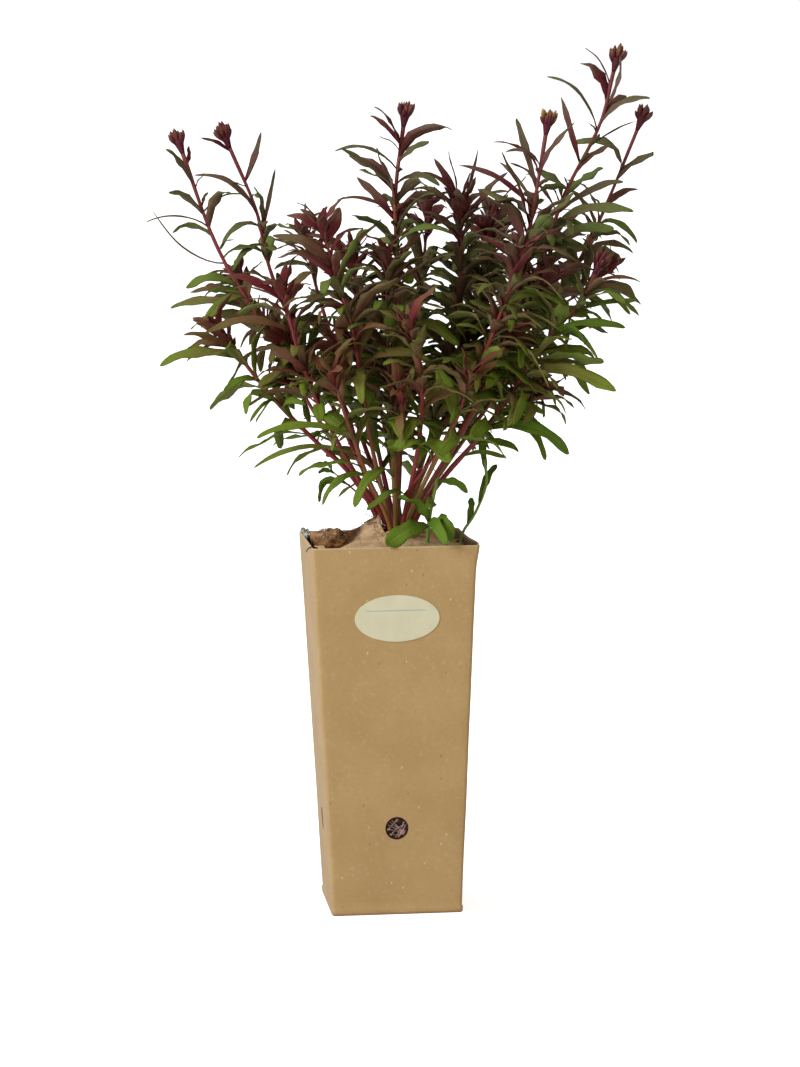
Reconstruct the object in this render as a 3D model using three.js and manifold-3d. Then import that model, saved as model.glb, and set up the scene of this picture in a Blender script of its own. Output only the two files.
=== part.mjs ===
// Potted gaura: a bushy perennial with leafy wand-like stems, in a tall square board pot.
//
// Millimetres, +Z up. The origin is the middle of the pot's foot, on the surface that it stands on.
// The pot's walls face along X and Y, and the labelled front wall faces -Y.
//
// The plant has a frame of its own, turned a little against the pot's walls. In it X runs across the plant's
// widest side, Y runs back through it, and every stem is a short list of waypoints from its foot in the soil
// to its tip. Leaves are placed on the stems by a seeded rule, and the long ones at the plant's outline
// by hand.

import * as THREE from 'three';
import { mergeVertices } from 'three/addons/utils/BufferGeometryUtils.js';
import Module from 'manifold-3d';

const wasm = await Module();
wasm.setup();

// Driving dimensions of the pot
const POT = { height: 203, top: 90, foot: 70.8, wall: 1.4, floor: 1.8, corner: 2, cornerSteps: 4 };
const HEM = { height: 3.6, out: 0.5 };
const FLARE = { reach: 2.6, height: 14, width: 18, back: 8, forward: 0.2 };
const DRAIN = { radius: 6.35, height: 48, sides: 18, seed: 50 };
const LABEL = { width: 46, height: 25.5, thickness: 0.4, x: 1, z: 164, steps: 14 };
const GAP = 0.3;

// The roots in a drain hole: a fan of strands over one that lies across
const ROOTS = { strands: 3, radius: 0.45, below: 5, above: 3.6, fan: 3.4, acrossRadius: 0.5, acrossZ: -3.3 };

// Driving dimensions of the soil, its cover and the straws. Shares run from 0 in the middle to 1 at a wall.
const SOIL = { edge: 192, rise: 12, power: 1.6, shares: [1, 0.8, 0.5], cornerSteps: 3 };
const COVER = {
  thickness: 1, inset: 1.5, edge: 196.5, rim: 209, power: 1.3, shares: [1, 0.84, 0.62, 0.4], cornerSteps: 5,
  hole: { x: 5.5, y: 0, halfX: 13, halfY: 23, reach: 0.6 },
  lump: { x: -31, y: 4, height: 5, spread: 110 },
};
const STRAWS = {
  foot: [29, -33, 201.3], tips: [[26, -36, 208], [30.5, -37, 209.5], [33, -33, 207.5]],
  radius: 0.35, crumb: 1.1,
};

// Driving dimensions of the plant
const PLANT_TURN = THREE.MathUtils.degToRad(-5.6);
const FOOT_DEPTH = 190;
const STEM = { radius: 1.5, tipRadius: 0.85, sides: 4, step: 27 };
const SHOOT = {
  radius: 1, tipRadius: 0.6, sides: 3, leaves: [3, 0.4, 1], share: [0.42, 0.55], length: [26, 42],
};
const FORK_LEAVES = [6, 0.3, 0.9];
const GOLDEN_ANGLE = THREE.MathUtils.degToRad(137.5);

// A leaf's blade: the keel below it, how its width rises from the stalk and falls to the tip, how its margins
// wave in and out (as a fraction of the width), and how the whole blade waves up and down.
const LEAF = {
  keel: 0.75, sunk: 0.35, camber: 0.1, rise: 0.9, fall: 0.7, longSteps: 5, steps: 4, shortSteps: 3,
};
const MARGIN_WAVE = { size: 0.13, turns: 2.3 };
const BLADE_WAVE = { size: 0.16, turns: 1.7 };

// Leaves are kept this far apart, more between two stems than on one, and stay above the pot's rim.
const CLEARANCE = 2.7;
const OWN_CLEARANCE = 1.3;
const LOWEST_LEAF = 222;
const HAND_ROLL = THREE.MathUtils.degToRad(55);

// The leaves set by rule, at a stem's foot and at its tip, with angles in degrees and the range that each
// value is drawn from: a factor for the first five, and radians for the roll and the turn.
const LOOK = {
  length: [42, 31], width: [7.6, 6.4], opening: [50, 30], arch: [34, 14], droop: [0.22, 0.02],
  lengthDraw: [0.75, 1.25], widthDraw: [0.75, 1.3], openingDraw: [0.8, 1.2], archDraw: [0.4, 1.5],
  droopDraw: [0.3, 1.6], rollDraw: [-0.7, 0.7], turnDraw: [-0.4, 0.4],
};

// The leaves round a tip: each next one sits higher and opens less.
const ROSETTE = {
  leaves: 5, step: 0.014, length: [18, 31], width: [4.4, 7], opening: 44, closing: 6, arch: [4, 22],
  rollDraw: [-0.5, 0.5], turnDraw: [-0.3, 0.3],
};

// A bud head: a small cone with upright spindles round it
const BUD = {
  length: 11, radius: 1.7, count: 8, core: 6.5, coreRadius: 1.1, coreFlare: 2, coreSides: 5,
  spread: 4.8, foot: 2.2, lean: 1.35, rise: [0.55, 0.8], fall: 0.45, widest: 0.66,
};

const FULL_TURN = 2 * Math.PI;
const UP = new THREE.Vector3(0, 0, 1);
const DEPTH = new THREE.Vector3(0, 1, 0);

// Each stem: its foot [x, y], the waypoints above it [x, y, z], what its tip bears, how many leaves the rule
// gives it between two fractions of its length, and its hand-placed blades:
// [height on the stem, tip, width, arch as a fraction of the length].
const STEMS = [
  {
    name: 'stem_left_tall', foot: [-1, -1.5], tip: 'buds', leaves: [7, 0.44, 0.74], shoots: 1,
    path: [[-1, -3.5, 213], [-12, -8, 241], [-22, -12, 276], [-36, -8, 293], [-59, 0, 312],
      [-79, 8, 341], [-94, 10, 371], [-109, 12, 415]],
    blades: [[395, [-116, 6, 418], 4.2, 0.05], [406, [-105, 18, 419], 2.4, 0.05],
      [382, [-76, 20, 392], 1.8, 0.3], [373, [-129, 0, 381], 1.8, 0.12], [354, [-128, 14, 379], 1.8, -0.14],
      [340, [-108, 0, 344], 5.4, 0.25], [334, [-100, -6, 322], 5, 0.3], [327, [-117, 2, 334], 5, 0.12]],
  },
  {
    name: 'stem_left_second', foot: [-0.5, 4], tip: 'buds', leaves: [8, 0.4, 0.8], shoots: 1,
    path: [[-1, 6, 213], [-15, 12, 245], [-30, 25, 276], [-49, 35, 314], [-63, 35, 350],
      [-70, 30, 383], [-84, 25, 418]],
    blades: [[372, [-91, 26, 363], 3.4, 0.5], [362, [-84, 30, 350], 3.6, 0.4],
      [370, [-68, 40, 396], 4.8, 0.05], [368, [-59, 40, 405], 2.2, 0.05],
      [378, [-100, 24, 407], 3.8, 0.16], [414, [-98, 20, 424], 2.6, 0.05],
      [398, [-66, 32, 425], 3.4, -0.05]],
  },
  {
    name: 'stem_left_red', foot: [1.5, -11.5], tip: 'rosette', leaves: [9, 0.35, 0.92], shoots: 1,
    path: [[1.5, -14, 213], [-8, -22, 259], [-16, -35, 316], [-24, -35, 344], [-32, -30, 373]],
    blades: [[370, [-49, -34, 384], 6, 0.05], [372, [-44, -26, 386], 4, 0.05],
      [369, [-24, -36, 392], 5, 0.05], [366, [-22, -22, 386], 7, 0.05], [352, [-55, -40, 375], 7.5, 0.05]],
  },
  {
    name: 'stem_left_outer', foot: [-0.5, -7], tip: 'rosette', leaves: [9, 0.44, 0.92], shoots: 1,
    path: [[-1, -10.5, 213], [-18, -20, 243], [-34, -30, 276], [-46, -34, 308], [-54, -32, 340]],
    blades: [[335, [-86, -30, 350], 5, 0.2], [318, [-98, -36, 322], 5, 0.18]],
  },
  {
    name: 'stem_left_back', foot: [3.5, 10], tip: 'rosette', leaves: [9, 0.3, 0.9], shoots: 0,
    path: [[3, 11.5, 213], [-13, 30, 255], [-26, 52, 298], [-38, 66, 338], [-44, 70, 366]],
    blades: [],
  },
  {
    name: 'stem_left_far', foot: [0.5, 10], tip: 'rosette', leaves: [8, 0.42, 0.92], shoots: 0,
    path: [[-1, 11.5, 213], [-24, 26, 245], [-47, 42, 282], [-66, 54, 316], [-80, 58, 344]],
    blades: [[330, [-108, 50, 338], 5, 0.2]],
  },
  {
    name: 'stem_purple', foot: [4.5, 4], tip: 'rosette', leaves: [9, 0.3, 0.9], shoots: 1,
    path: [[3.5, 8, 213], [-6, 27, 259], [-12, 42, 311], [-17, 45, 355]],
    blades: [[350, [-40, 40, 372], 4.5, 0.1], [348, [-6, 36, 378], 5, 0.05]],
  },
  {
    name: 'stem_front', foot: [5, -11.5], tip: 'rosette', leaves: [10, 0.35, 0.93], shoots: 1,
    path: [[5, -14, 213], [3.5, -19, 264], [2, -26, 317], [2, -23, 357]],
    blades: [],
  },
  {
    name: 'stem_mid_tall', foot: [5, -2.5], tip: 'buds', leaves: [9, 0.35, 0.78], shoots: 0,
    path: [[6, -1, 213], [6, 5, 267], [9, 5, 316], [7, 0, 377], [8, 0, 400], [12, 0, 428]],
    blades: [[404, [-25, -8, 418], 2, 0.25], [395, [-21, -16, 417], 3.8, 0.05],
      [384, [-2, -20, 417], 7.2, 0.05], [376, [-14, 10, 401], 4.8, 0.1], [380, [-25, 12, 392], 2, 0.1],
      [410, [1, -8, 440], 4.8, 0.1],
      [417, [-6, 6, 435], 2.8, 0.15], [408, [24, -4, 421], 3.6, 0.02], [396, [31, -12, 398], 3.6, 0.3]],
  },
  {
    name: 'stem_mid_second', foot: [8.5, 0], tip: 'rosette', leaves: [10, 0.35, 0.88], shoots: 1,
    path: [[9.5, 2.5, 213], [22, 14, 249], [33, 20, 287], [42, 20, 336], [43, 15, 384]],
    blades: [[382, [16, 8, 404], 2.8, 0.3], [380, [37, 8, 414], 3.8, 0.02], [381, [29, 22, 411], 4.4, 0.06],
      [378, [53, 22, 414], 2, -0.05], [372, [67, 4, 403], 5.2, 0.05], [366, [20, 4, 398], 4, 0.3]],
  },
  {
    name: 'stem_back_red', foot: [9, 6], tip: 'buds', leaves: [10, 0.35, 0.92], shoots: 1,
    path: [[10.5, 9, 213], [28, 32, 252], [48, 48, 300], [57, 50, 338], [58, 48, 366]],
    blades: [],
  },
  {
    name: 'stem_big_bud', foot: [10, -6.5], tip: 'buds', leaves: [10, 0.35, 0.84], shoots: 1,
    path: [[12.5, -7, 213], [42, -10, 262], [64, -15, 306], [75, -12, 350], [83, -10, 389], [89, -8, 423]],
    blades: [[382, [42, -4, 408], 3.2, 0.18], [384, [64, 0, 409], 2, 0.12], [372, [66, -22, 414], 4.2, 0.08],
      [404, [68, -16, 416], 2.2, 0.25], [392, [73, 0, 432], 3.8, 0.1], [398, [101, -16, 430], 4, 0.02],
      [360, [104, -22, 392], 5, 0.1]],
  },
  {
    name: 'stem_right_tall', foot: [12, -1], tip: 'buds', leaves: [10, 0.38, 0.72], shoots: 0,
    path: [[14, 1, 213], [33, 8, 246], [61, 14, 297], [86, 15, 352], [100, 12, 390], [119, 10, 427],
      [127, 8, 457]],
    blades: [[405, [98, 20, 444], 3.4, 0.05], [424, [94, 4, 457], 2.2, 0.2], [447, [114, 4, 470], 1.8, 0.1],
      [426, [145, 2, 444], 3.8, 0.2], [415, [139, 18, 430], 1.8, 0.05], [400, [125, 0, 417], 4.4, 0.15],
      [436, [133, 2, 464], 3.8, -0.05], [378, [131, 0, 397], 4.4, 0.18], [370, [134, -4, 385], 6.6, 0.12],
      [362, [124, -10, 373], 6.4, 0.12]],
  },
  {
    name: 'stem_right_second', foot: [12.5, 4.5], tip: 'buds', leaves: [9, 0.38, 0.78], shoots: 1,
    path: [[14, 9, 213], [35, 22, 243], [68, 34, 288], [97, 38, 333], [115, 37, 364], [127, 32, 391],
      [141, 28, 425]],
    blades: [[394, [150, 24, 414], 4.2, 0.05], [378, [138, 28, 394], 4.8, 0.1],
      [370, [141, 26, 364], 3.4, 0.4], [352, [139, 32, 358], 3.8, 0.4]],
  },
  {
    name: 'stem_right_red', foot: [13.5, -6.5], tip: 'buds', leaves: [8, 0.42, 0.84], shoots: 1,
    path: [[15.5, -10.5, 213], [31, -16, 237], [50, -23, 259], [67, -28, 282], [90, -32, 315], [107, -32, 334],
      [114, -30, 348]],
    blades: [[340, [138, -38, 344], 2.2, 0.3], [334, [133, -20, 340], 4.4, 0.2],
      [328, [136, -38, 335], 3.2, 0.05], [316, [128, -44, 323], 4.8, 0.08],
      [318, [114, -42, 304], 2.4, 0.4], [295, [124, -48, 286], 7.8, 0.22],
      [300, [113, -18, 283], 5.6, 0.3], [284, [88, -36, 285], 3.8, 0.3], [270, [86, -36, 275], 4.4, 0.3],
      [274, [88, -22, 247], 5.6, 0.45], [262, [101, -34, 255], 7.2, 0.25], [255, [74, -12, 252], 4.2, 0.2],
      [248, [64, -36, 251], 2.8, 0.15]],
  },
  {
    name: 'stem_front_rosette', foot: [6.5, -16.5], tip: 'rosette', leaves: [8, 0.3, 0.9], shoots: 1,
    path: [[9, -19.5, 213], [18, -38, 258], [20, -54, 291], [14, -62, 322]],
    blades: [],
    fork: [[10, -24, 229], [24, -38, 248], [38, -50, 270], [45, -58, 294]],
  },
  {
    name: 'stem_front_left', foot: [3, -16], tip: 'rosette', leaves: [6, 0.5, 0.95], shoots: 0,
    path: [[1.5, -19.5, 213], [-10, -28, 240], [-19, -42, 267], [-27, -50, 294]],
    blades: [[238, [-37, -32, 227], 4.2, 0.4], [262, [-69, -52, 265], 4.6, 0.22], [250,
      [-73, -34, 251], 3, 0.15]],
  },
  {
    name: 'stem_low_left', foot: [-3.5, -6], tip: 'rosette', leaves: [7, 0.5, 0.95], shoots: 0,
    path: [[-4.5, -7, 213], [-20, -9, 240], [-38, -14, 258], [-58, -16, 279], [-72, -14, 296],
      [-88, -12, 318]],
    blades: [[302, [-122, -20, 305], 6.4, 0.12], [290, [-87, -26, 288], 3.8, 0.3],
      [280, [-73, -26, 271], 2, 0.3], [306, [-108, -24, 318], 4.4, 0.2]],
  },
  {
    name: 'stem_right_rosette', foot: [9, -11.5], tip: 'rosette', leaves: [9, 0.4, 0.92], shoots: 1,
    path: [[11, -15, 213], [34, -28, 262], [54, -40, 306], [68, -46, 342], [72, -46, 358]],
    blades: [],
  },
  {
    name: 'stem_back_middle', foot: [6.5, 11], tip: 'rosette', leaves: [10, 0.35, 0.92], shoots: 0,
    path: [[6.5, 14, 213], [9, 34, 256], [16, 52, 302], [22, 62, 346], [25, 64, 380]],
    blades: [],
  },
  {
    name: 'stem_back_right', foot: [9.5, 11.5], tip: 'rosette', leaves: [10, 0.35, 0.92], shoots: 0,
    path: [[10.5, 14, 213], [24, 38, 252], [40, 60, 298], [54, 70, 342], [62, 70, 378]],
    blades: [],
  },
  {
    name: 'stem_back_far', foot: [13, 10], tip: 'rosette', leaves: [10, 0.38, 0.92], shoots: 1,
    path: [[14, 12.5, 213], [36, 32, 247], [63, 50, 288], [84, 58, 328], [96, 58, 366]],
    blades: [],
  },
  {
    name: 'stem_back_low', foot: [7.5, 16.5], tip: 'rosette', leaves: [7, 0.3, 0.9], shoots: 0,
    path: [[7.5, 19.5, 213], [2, 42, 244], [-4, 68, 276], [-10, 84, 304]],
    blades: [],
  },
];

// Two young shoots stand apart from the crown, with broad leaves placed by hand.
const SHOOTS_FROM_SOIL = [
  {
    name: 'shoot_basal', foot: [22, -24], radius: 1.1, tip: 'none', leaves: [0, 0, 0], shoots: 0, low: true,
    path: [[23, -25, 213], [28, -23, 238]],
    blades: [[213, [5, -24, 229], 9, 0.1], [212, [1, -49, 206], 10, 0.12], [214, [31, -51, 206], 7.5, 0.3],
      [235, [45, -26, 231], 4.4, 0.3], [222, [24, -44, 226], 6, 0.2]],
  },
  {
    name: 'shoot_corner', foot: [39.5, 6], radius: 0.8, tip: 'none', leaves: [0, 0, 0], shoots: 0, low: true,
    path: [[41.5, 5, 204], [49, 4, 216], [55, 1, 232], [54, -2, 246]],
    blades: [[209, [48, 10, 224], 3.8, 0.1], [220, [59, -3, 243], 4.4, 0.05], [238, [52, -4, 258], 3.8, 0.1]],
  },
];

// Seeded draws: each call gives the next number between low and high.
function drawer(seed) {
  const modulus = 2147483647;
  let state = seed * 7919 + 104729;
  return (low, high) => {
    state = (state * 16807) % modulus;
    return low + ((high - low) * state) / modulus;
  };
}

// Solids from closed three.js geometries, and back
function solidOf(geometry) {
  const bare = geometry.clone();
  bare.deleteAttribute('normal');
  bare.deleteAttribute('uv');
  const merged = mergeVertices(bare, 1e-4);
  const vertProperties = merged.attributes.position.array;
  return new wasm.Manifold(
    new wasm.Mesh({ numProp: 3, vertProperties, triVerts: new Uint32Array(merged.index.array) }),
  );
}

function joined(geometries) {
  return geometries.map(solidOf).reduce((whole, piece) => whole.add(piece));
}

function meshOf(name, solid, material) {
  const { vertProperties, triVerts } = solid.getMesh();
  const geometry = new THREE.BufferGeometry();
  geometry.setAttribute('position', new THREE.BufferAttribute(vertProperties, 3));
  geometry.setIndex(new THREE.BufferAttribute(triVerts, 1));
  const faceted = geometry.toNonIndexed();
  faceted.computeVertexNormals();
  const mesh = new THREE.Mesh(faceted, material);
  mesh.name = name;
  return mesh;
}

function material(color, roughness) {
  return new THREE.MeshStandardMaterial({ color, roughness, metalness: 0, side: THREE.DoubleSide });
}

const MATERIALS = {
  board: material(0xac9160, 0.85),
  label: material(0xcdc5a4, 0.6),
  soil: material(0x2f2013, 1),
  fibre: material(0x8c6941, 0.95),
  root: material(0x9a7468, 0.8),
  foliage: material(0x4a5227, 0.6),
  bud: material(0x502b17, 0.6),
  straw: material(0xb59a6a, 0.9),
};

// The pot

function halfWidthAt(z) {
  return THREE.MathUtils.lerp(POT.foot, POT.top, z / POT.height) / 2;
}

const ROUNDEST_CORNER = 0.8;

// A closed profile of [half width, z] pairs, swept round the Z axis as a square with rounded corners.
// Lathe vertices run round the axis in steps, and each step is moved from the circle to the square. Near the
// axis the corners get rounder, so that they always fit.
function squareLathe(profile, corner, stepsPerCorner, shift = () => [0, 0, 0]) {
  const steps = 4 * stepsPerCorner;
  const outline = profile.map(([halfWidth, z]) => new THREE.Vector2(halfWidth, z));
  const geometry = new THREE.LatheGeometry(outline, steps);
  const position = geometry.attributes.position;
  for (let i = 0; i < position.count; i++) {
    const step = Math.floor(i / profile.length) % steps;
    const [halfWidth, z] = profile[i % profile.length];
    const quarter = Math.floor(step / stepsPerCorner);
    const radius = Math.min(corner, ROUNDEST_CORNER * halfWidth);
    const angle = ((quarter + (step % stepsPerCorner) / (stepsPerCorner - 1)) * Math.PI) / 2;
    const signX = quarter === 0 || quarter === 3 ? 1 : -1;
    const signY = quarter < 2 ? 1 : -1;
    const x = signX * (halfWidth - radius) + radius * Math.cos(angle);
    const y = signY * (halfWidth - radius) + radius * Math.sin(angle);
    const [dx, dy, dz] = shift(x, y, z);
    position.setXYZ(i, x + dx, y + dy, z + dz);
  }
  return geometry;
}

// The rim springs outwards a little on the right, close behind the front corner.
function rimFlare(x, y, z) {
  const high = THREE.MathUtils.smoothstep(z, POT.height - FLARE.height, POT.height);
  const away = Math.hypot(x - POT.top / 2, y + POT.top / 2 - FLARE.back);
  const push = FLARE.reach * high * Math.exp(-((away / FLARE.width) ** 2));
  return [push, -FLARE.forward * push, 0];
}

function makePot() {
  const inner = (z) => halfWidthAt(z) - POT.wall;
  const flareStart = POT.height - FLARE.height;
  const shell = squareLathe([
    [0, 0],
    [halfWidthAt(0) + HEM.out, 0],
    [halfWidthAt(HEM.height) + HEM.out, HEM.height],
    [halfWidthAt(HEM.height + 1), HEM.height + 1],
    [halfWidthAt(flareStart), flareStart],
    [halfWidthAt(POT.height), POT.height],
    [inner(POT.height), POT.height],
    [inner(flareStart), flareStart],
    [inner(POT.floor), POT.floor],
    [0, POT.floor],
  ], POT.corner, POT.cornerSteps, rimFlare);
  const drill = new THREE.CylinderGeometry(DRAIN.radius, DRAIN.radius, 2 * POT.top, DRAIN.sides);
  const alongY = drill.clone().translate(0, 0, DRAIN.height);
  const alongX = drill.clone().rotateZ(Math.PI / 2).translate(0, 0, DRAIN.height);
  const pot = solidOf(shell).subtract(solidOf(alongY)).subtract(solidOf(alongX));
  return meshOf('pot', pot, MATERIALS.board);
}

const WALL_LEAN = Math.atan((POT.top - POT.foot) / 2 / POT.height);

function makeLabel() {
  const oval = new THREE.Shape();
  oval.absellipse(0, 0, LABEL.width / 2, LABEL.height / 2, 0, FULL_TURN);
  const geometry = new THREE.ExtrudeGeometry(oval, {
    depth: LABEL.thickness, bevelEnabled: false, curveSegments: LABEL.steps,
  });
  geometry.rotateX(Math.PI / 2 + WALL_LEAN);
  geometry.translate(LABEL.x, -halfWidthAt(LABEL.z) - GAP, LABEL.z);
  return meshOf('label', solidOf(geometry), MATERIALS.label);
}

// Roots that show in a drain hole lie within the thickness of the board, in a fan of crossing strands.
function makeDrainRoots(name, turn, seed) {
  const draw = drawer(seed);
  const strands = [];
  for (let k = 0; k < ROOTS.strands; k++) {
    const place = k - (ROOTS.strands - 1) / 2;
    const start = new THREE.Vector3(place + draw(-0.3, 0.3), 0, -ROOTS.below);
    const end = new THREE.Vector3(ROOTS.fan * place + draw(-0.4, 0.4), 0, ROOTS.above - Math.abs(place));
    const bend = new THREE.Vector3(0.5 * ROOTS.fan * place + draw(-0.8, 0.8), 0, draw(-1, 1));
    strands.push(tube(new THREE.QuadraticBezierCurve3(start, bend, end), () => ROOTS.radius, 3, 2));
  }
  const left = new THREE.Vector3(-ROOTS.above, 0, ROOTS.acrossZ);
  const right = new THREE.Vector3(ROOTS.above, 0, ROOTS.acrossZ);
  strands.push(tube(new THREE.LineCurve3(left, right), () => ROOTS.acrossRadius, 4, 1));
  const fan = joined(strands.map((strand) => strand
    .rotateX(WALL_LEAN)
    .translate(0, -halfWidthAt(DRAIN.height) + POT.wall / 2, DRAIN.height)
    .rotateZ(turn)));
  return meshOf(name, fan, MATERIALS.root);
}

// Soil and its cover

function soilHeight(share) {
  return SOIL.edge + SOIL.rise * (1 - share ** SOIL.power);
}

function makeSoil(cutters) {
  const inside = (z) => halfWidthAt(z) - POT.wall - GAP;
  const bottom = POT.floor + GAP;
  const block = squareLathe([
    [0, bottom],
    [inside(bottom), bottom],
    ...SOIL.shares.map((share) => [share * inside(SOIL.edge), soilHeight(share)]),
    [0, soilHeight(0)],
  ], POT.corner, SOIL.cornerSteps);
  return meshOf('root_ball', solidOf(block).subtract(cutters), MATERIALS.soil);
}

// The sheet is a ring: square and flat at the pot's walls, raised to a torn oval collar round the crown,
// and crumpled up on its left side.
const COVER_OUTER = halfWidthAt(COVER.edge) - POT.wall - COVER.inset;

function coverShift(x, y, z) {
  const { hole, lump } = COVER;
  const share = Math.max(Math.abs(x), Math.abs(y)) / COVER_OUTER;
  const inward = THREE.MathUtils.smoothstep(1 - share, 0, hole.reach);
  const angle = Math.atan2(y, x);
  const torn = 1 + 0.08 * Math.sin(3 * angle + 0.6) + 0.05 * Math.sin(7 * angle);
  const targetX = hole.x + hole.halfX * torn * Math.cos(angle);
  const targetY = hole.y + hole.halfY * torn * Math.sin(angle);
  const crumple = lump.height * Math.exp(-((x - lump.x) ** 2 + (y - lump.y) ** 2) / lump.spread);
  const ruffle = inward * (1.2 * Math.sin(4 * angle + 1) + 0.8 * Math.sin(9 * angle));
  return [inward * (targetX - x), inward * (targetY - y), crumple + ruffle];
}

function coverHeight(share) {
  const collar = COVER.shares.at(-1) ** COVER.power;
  return THREE.MathUtils.mapLinear(share ** COVER.power, 1, collar, COVER.edge, COVER.rim);
}

function makeCover(cutters) {
  const under = COVER.shares.map((share) => [share * COVER_OUTER, coverHeight(share)]);
  const over = under.map(([halfWidth, z]) => [halfWidth, z + COVER.thickness]).reverse();
  const ring = [...under, ...over, under[0]].reverse();
  const sheet = squareLathe(ring, POT.corner, COVER.cornerSteps, coverShift);
  return meshOf('soil_cover', solidOf(sheet).subtract(cutters), MATERIALS.fibre);
}

// Dry straws stand in a crumb of moss that lies on the cover.
function makeStraws() {
  const foot = new THREE.Vector3(...STRAWS.foot);
  const straws = STRAWS.tips.map((tip) => tube(
    new THREE.LineCurve3(foot, new THREE.Vector3(...tip)), () => STRAWS.radius, 4, 1,
  ));
  const crumb = new THREE.IcosahedronGeometry(STRAWS.crumb, 0)
    .translate(foot.x, foot.y, foot.z + STRAWS.radius);
  return meshOf('straws', joined([crumb, ...straws]), MATERIALS.straw);
}

// Shapes bent along a curve

// Moves every vertex of an upright unit cylinder: y runs along it, x and z across it.
function bent(cylinder, place) {
  const position = cylinder.attributes.position;
  const vertex = new THREE.Vector3();
  for (let i = 0; i < position.count; i++) {
    vertex.fromBufferAttribute(position, i);
    const moved = place(vertex.y + 0.5, vertex.x, vertex.z, cylinder.attributes.uv.getX(i));
    position.setXYZ(i, moved.x, moved.y, moved.z);
  }
  return cylinder;
}

// A round rod along a curve, its ends carried on by extend.
function tube(curve, radiusAt, sides, steps, extend = 0) {
  const rod = new THREE.CylinderGeometry(1, 1, 1, sides, steps);
  return bent(rod, (along, across, out) => {
    const middle = curve.getPoint(along);
    const tangent = curve.getTangent(along);
    const side = new THREE.Vector3().crossVectors(tangent, DEPTH).normalize();
    if (side.lengthSq() < 0.5) side.set(1, 0, 0);
    const other = new THREE.Vector3().crossVectors(side, tangent);
    const radius = radiusAt(along);
    const overrun = along === 0 ? -extend : along === 1 ? extend : 0;
    return middle
      .addScaledVector(tangent, overrun)
      .addScaledVector(side, radius * across)
      .addScaledVector(other, radius * out);
  });
}

// Leaves

// A leaf is { base, bend, tip }, the points of a quadratic curve, with a width, the phase of its waves and
// its roll about its own length, which turns its face from the sky towards one side.
function leafCurve(leaf) {
  return new THREE.QuadraticBezierCurve3(leaf.base, leaf.bend, leaf.tip);
}

function leafSide(leaf) {
  const along = new THREE.Vector3().subVectors(leaf.tip, leaf.base);
  const lift = new THREE.Vector3().subVectors(leaf.bend, leaf.base);
  const side = new THREE.Vector3().crossVectors(lift, along);
  if (side.length() < 0.01 * along.lengthSq()) side.crossVectors(UP, along);
  return side.normalize().applyAxisAngle(along.normalize(), leaf.roll);
}

// The taper is 0 at both ends and 1 where the leaf is widest, a little past its middle.
function leafTaper(share) {
  return share ** LEAF.rise * (1 - share) ** LEAF.fall;
}

const WIDEST_TAPER = leafTaper(LEAF.rise / (LEAF.rise + LEAF.fall));

// Half the width at a share of the leaf's length, with its waved margin
function leafHalfWidth(leaf, share) {
  const wave = MARGIN_WAVE.size * Math.sin(FULL_TURN * (MARGIN_WAVE.turns * share + leaf.phase));
  return ((0.5 * leaf.width * leafTaper(share)) / WIDEST_TAPER) * (1 + wave);
}

function leafLift(leaf, share) {
  const wave = Math.sin(FULL_TURN * (BLADE_WAVE.turns * share + leaf.phase));
  return BLADE_WAVE.size * leaf.width * share * wave;
}

function leafSteps(leaf) {
  const length = leaf.base.distanceTo(leaf.tip);
  if (length > 36 && leaf.width > 7) return LEAF.longSteps;
  return length > 29 ? LEAF.steps : LEAF.shortSteps;
}

// The blade is three corners swept along the leaf: its two margins, and the keel of its midrib below them.
function leafGeometry(leaf) {
  const curve = leafCurve(leaf);
  const side = leafSide(leaf);
  const blade = new THREE.CylinderGeometry(0, 0, 1, 3, leafSteps(leaf), true);
  return bent(blade, (share, across, out, round) => {
    const corner = Math.round(round * 3) % 3;
    const tangent = curve.getTangent(share);
    const under = new THREE.Vector3().crossVectors(side, tangent).normalize();
    const point = curve.getPoint(share).addScaledVector(under, -leafLift(leaf, share));
    const thin = Math.sin(Math.PI * share);
    if (corner === 0) return point.addScaledVector(under, LEAF.keel * thin);
    const half = (corner === 1 ? 1 : -1) * leafHalfWidth(leaf, share);
    return point.addScaledVector(side, half).addScaledVector(under, -LEAF.camber * Math.abs(half));
  });
}

// Points spread over a leaf's blade, past its stalk, that stand for it when leaves are kept apart.
function leafPoints(leaf) {
  const curve = leafCurve(leaf);
  const side = leafSide(leaf);
  const length = leaf.base.distanceTo(leaf.tip);
  const rows = Math.max(4, Math.ceil(length / 3));
  const points = [];
  for (let row = 0; row <= rows; row++) {
    const share = THREE.MathUtils.lerp(0.2, 1, row / rows);
    const half = leafHalfWidth(leaf, share);
    const across = half < 1.6 ? [0] : half < 3.4 ? [-0.6, 0.6] : [-0.8, -0.27, 0.27, 0.8];
    for (const place of across) {
      points.push(curve.getPoint(share).addScaledVector(side, place * half));
    }
  }
  return points;
}

// Points already taken, in a grid of cells, each with the name of its owner
class Room {
  cells = new Map();

  cell(point, i = 0, j = 0, k = 0) {
    const at = (value, step) => Math.floor(value / CLEARANCE) + step;
    return `${at(point.x, i)},${at(point.y, j)},${at(point.z, k)}`;
  }

  take(owner, points) {
    for (const point of points) {
      const key = this.cell(point);
      if (!this.cells.has(key)) this.cells.set(key, []);
      this.cells.get(key).push({ owner, point });
    }
  }

  isFree(owner, points) {
    const steps = [-1, 0, 1];
    return points.every((point) => steps.every((i) => steps.every((j) => steps.every((k) => {
      const taken = this.cells.get(this.cell(point, i, j, k)) ?? [];
      return taken.every((other) => {
        const needed = other.owner === owner ? OWN_CLEARANCE : CLEARANCE;
        return other.point.distanceTo(point) > needed;
      });
    }))));
  }
}

// Stems

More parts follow.
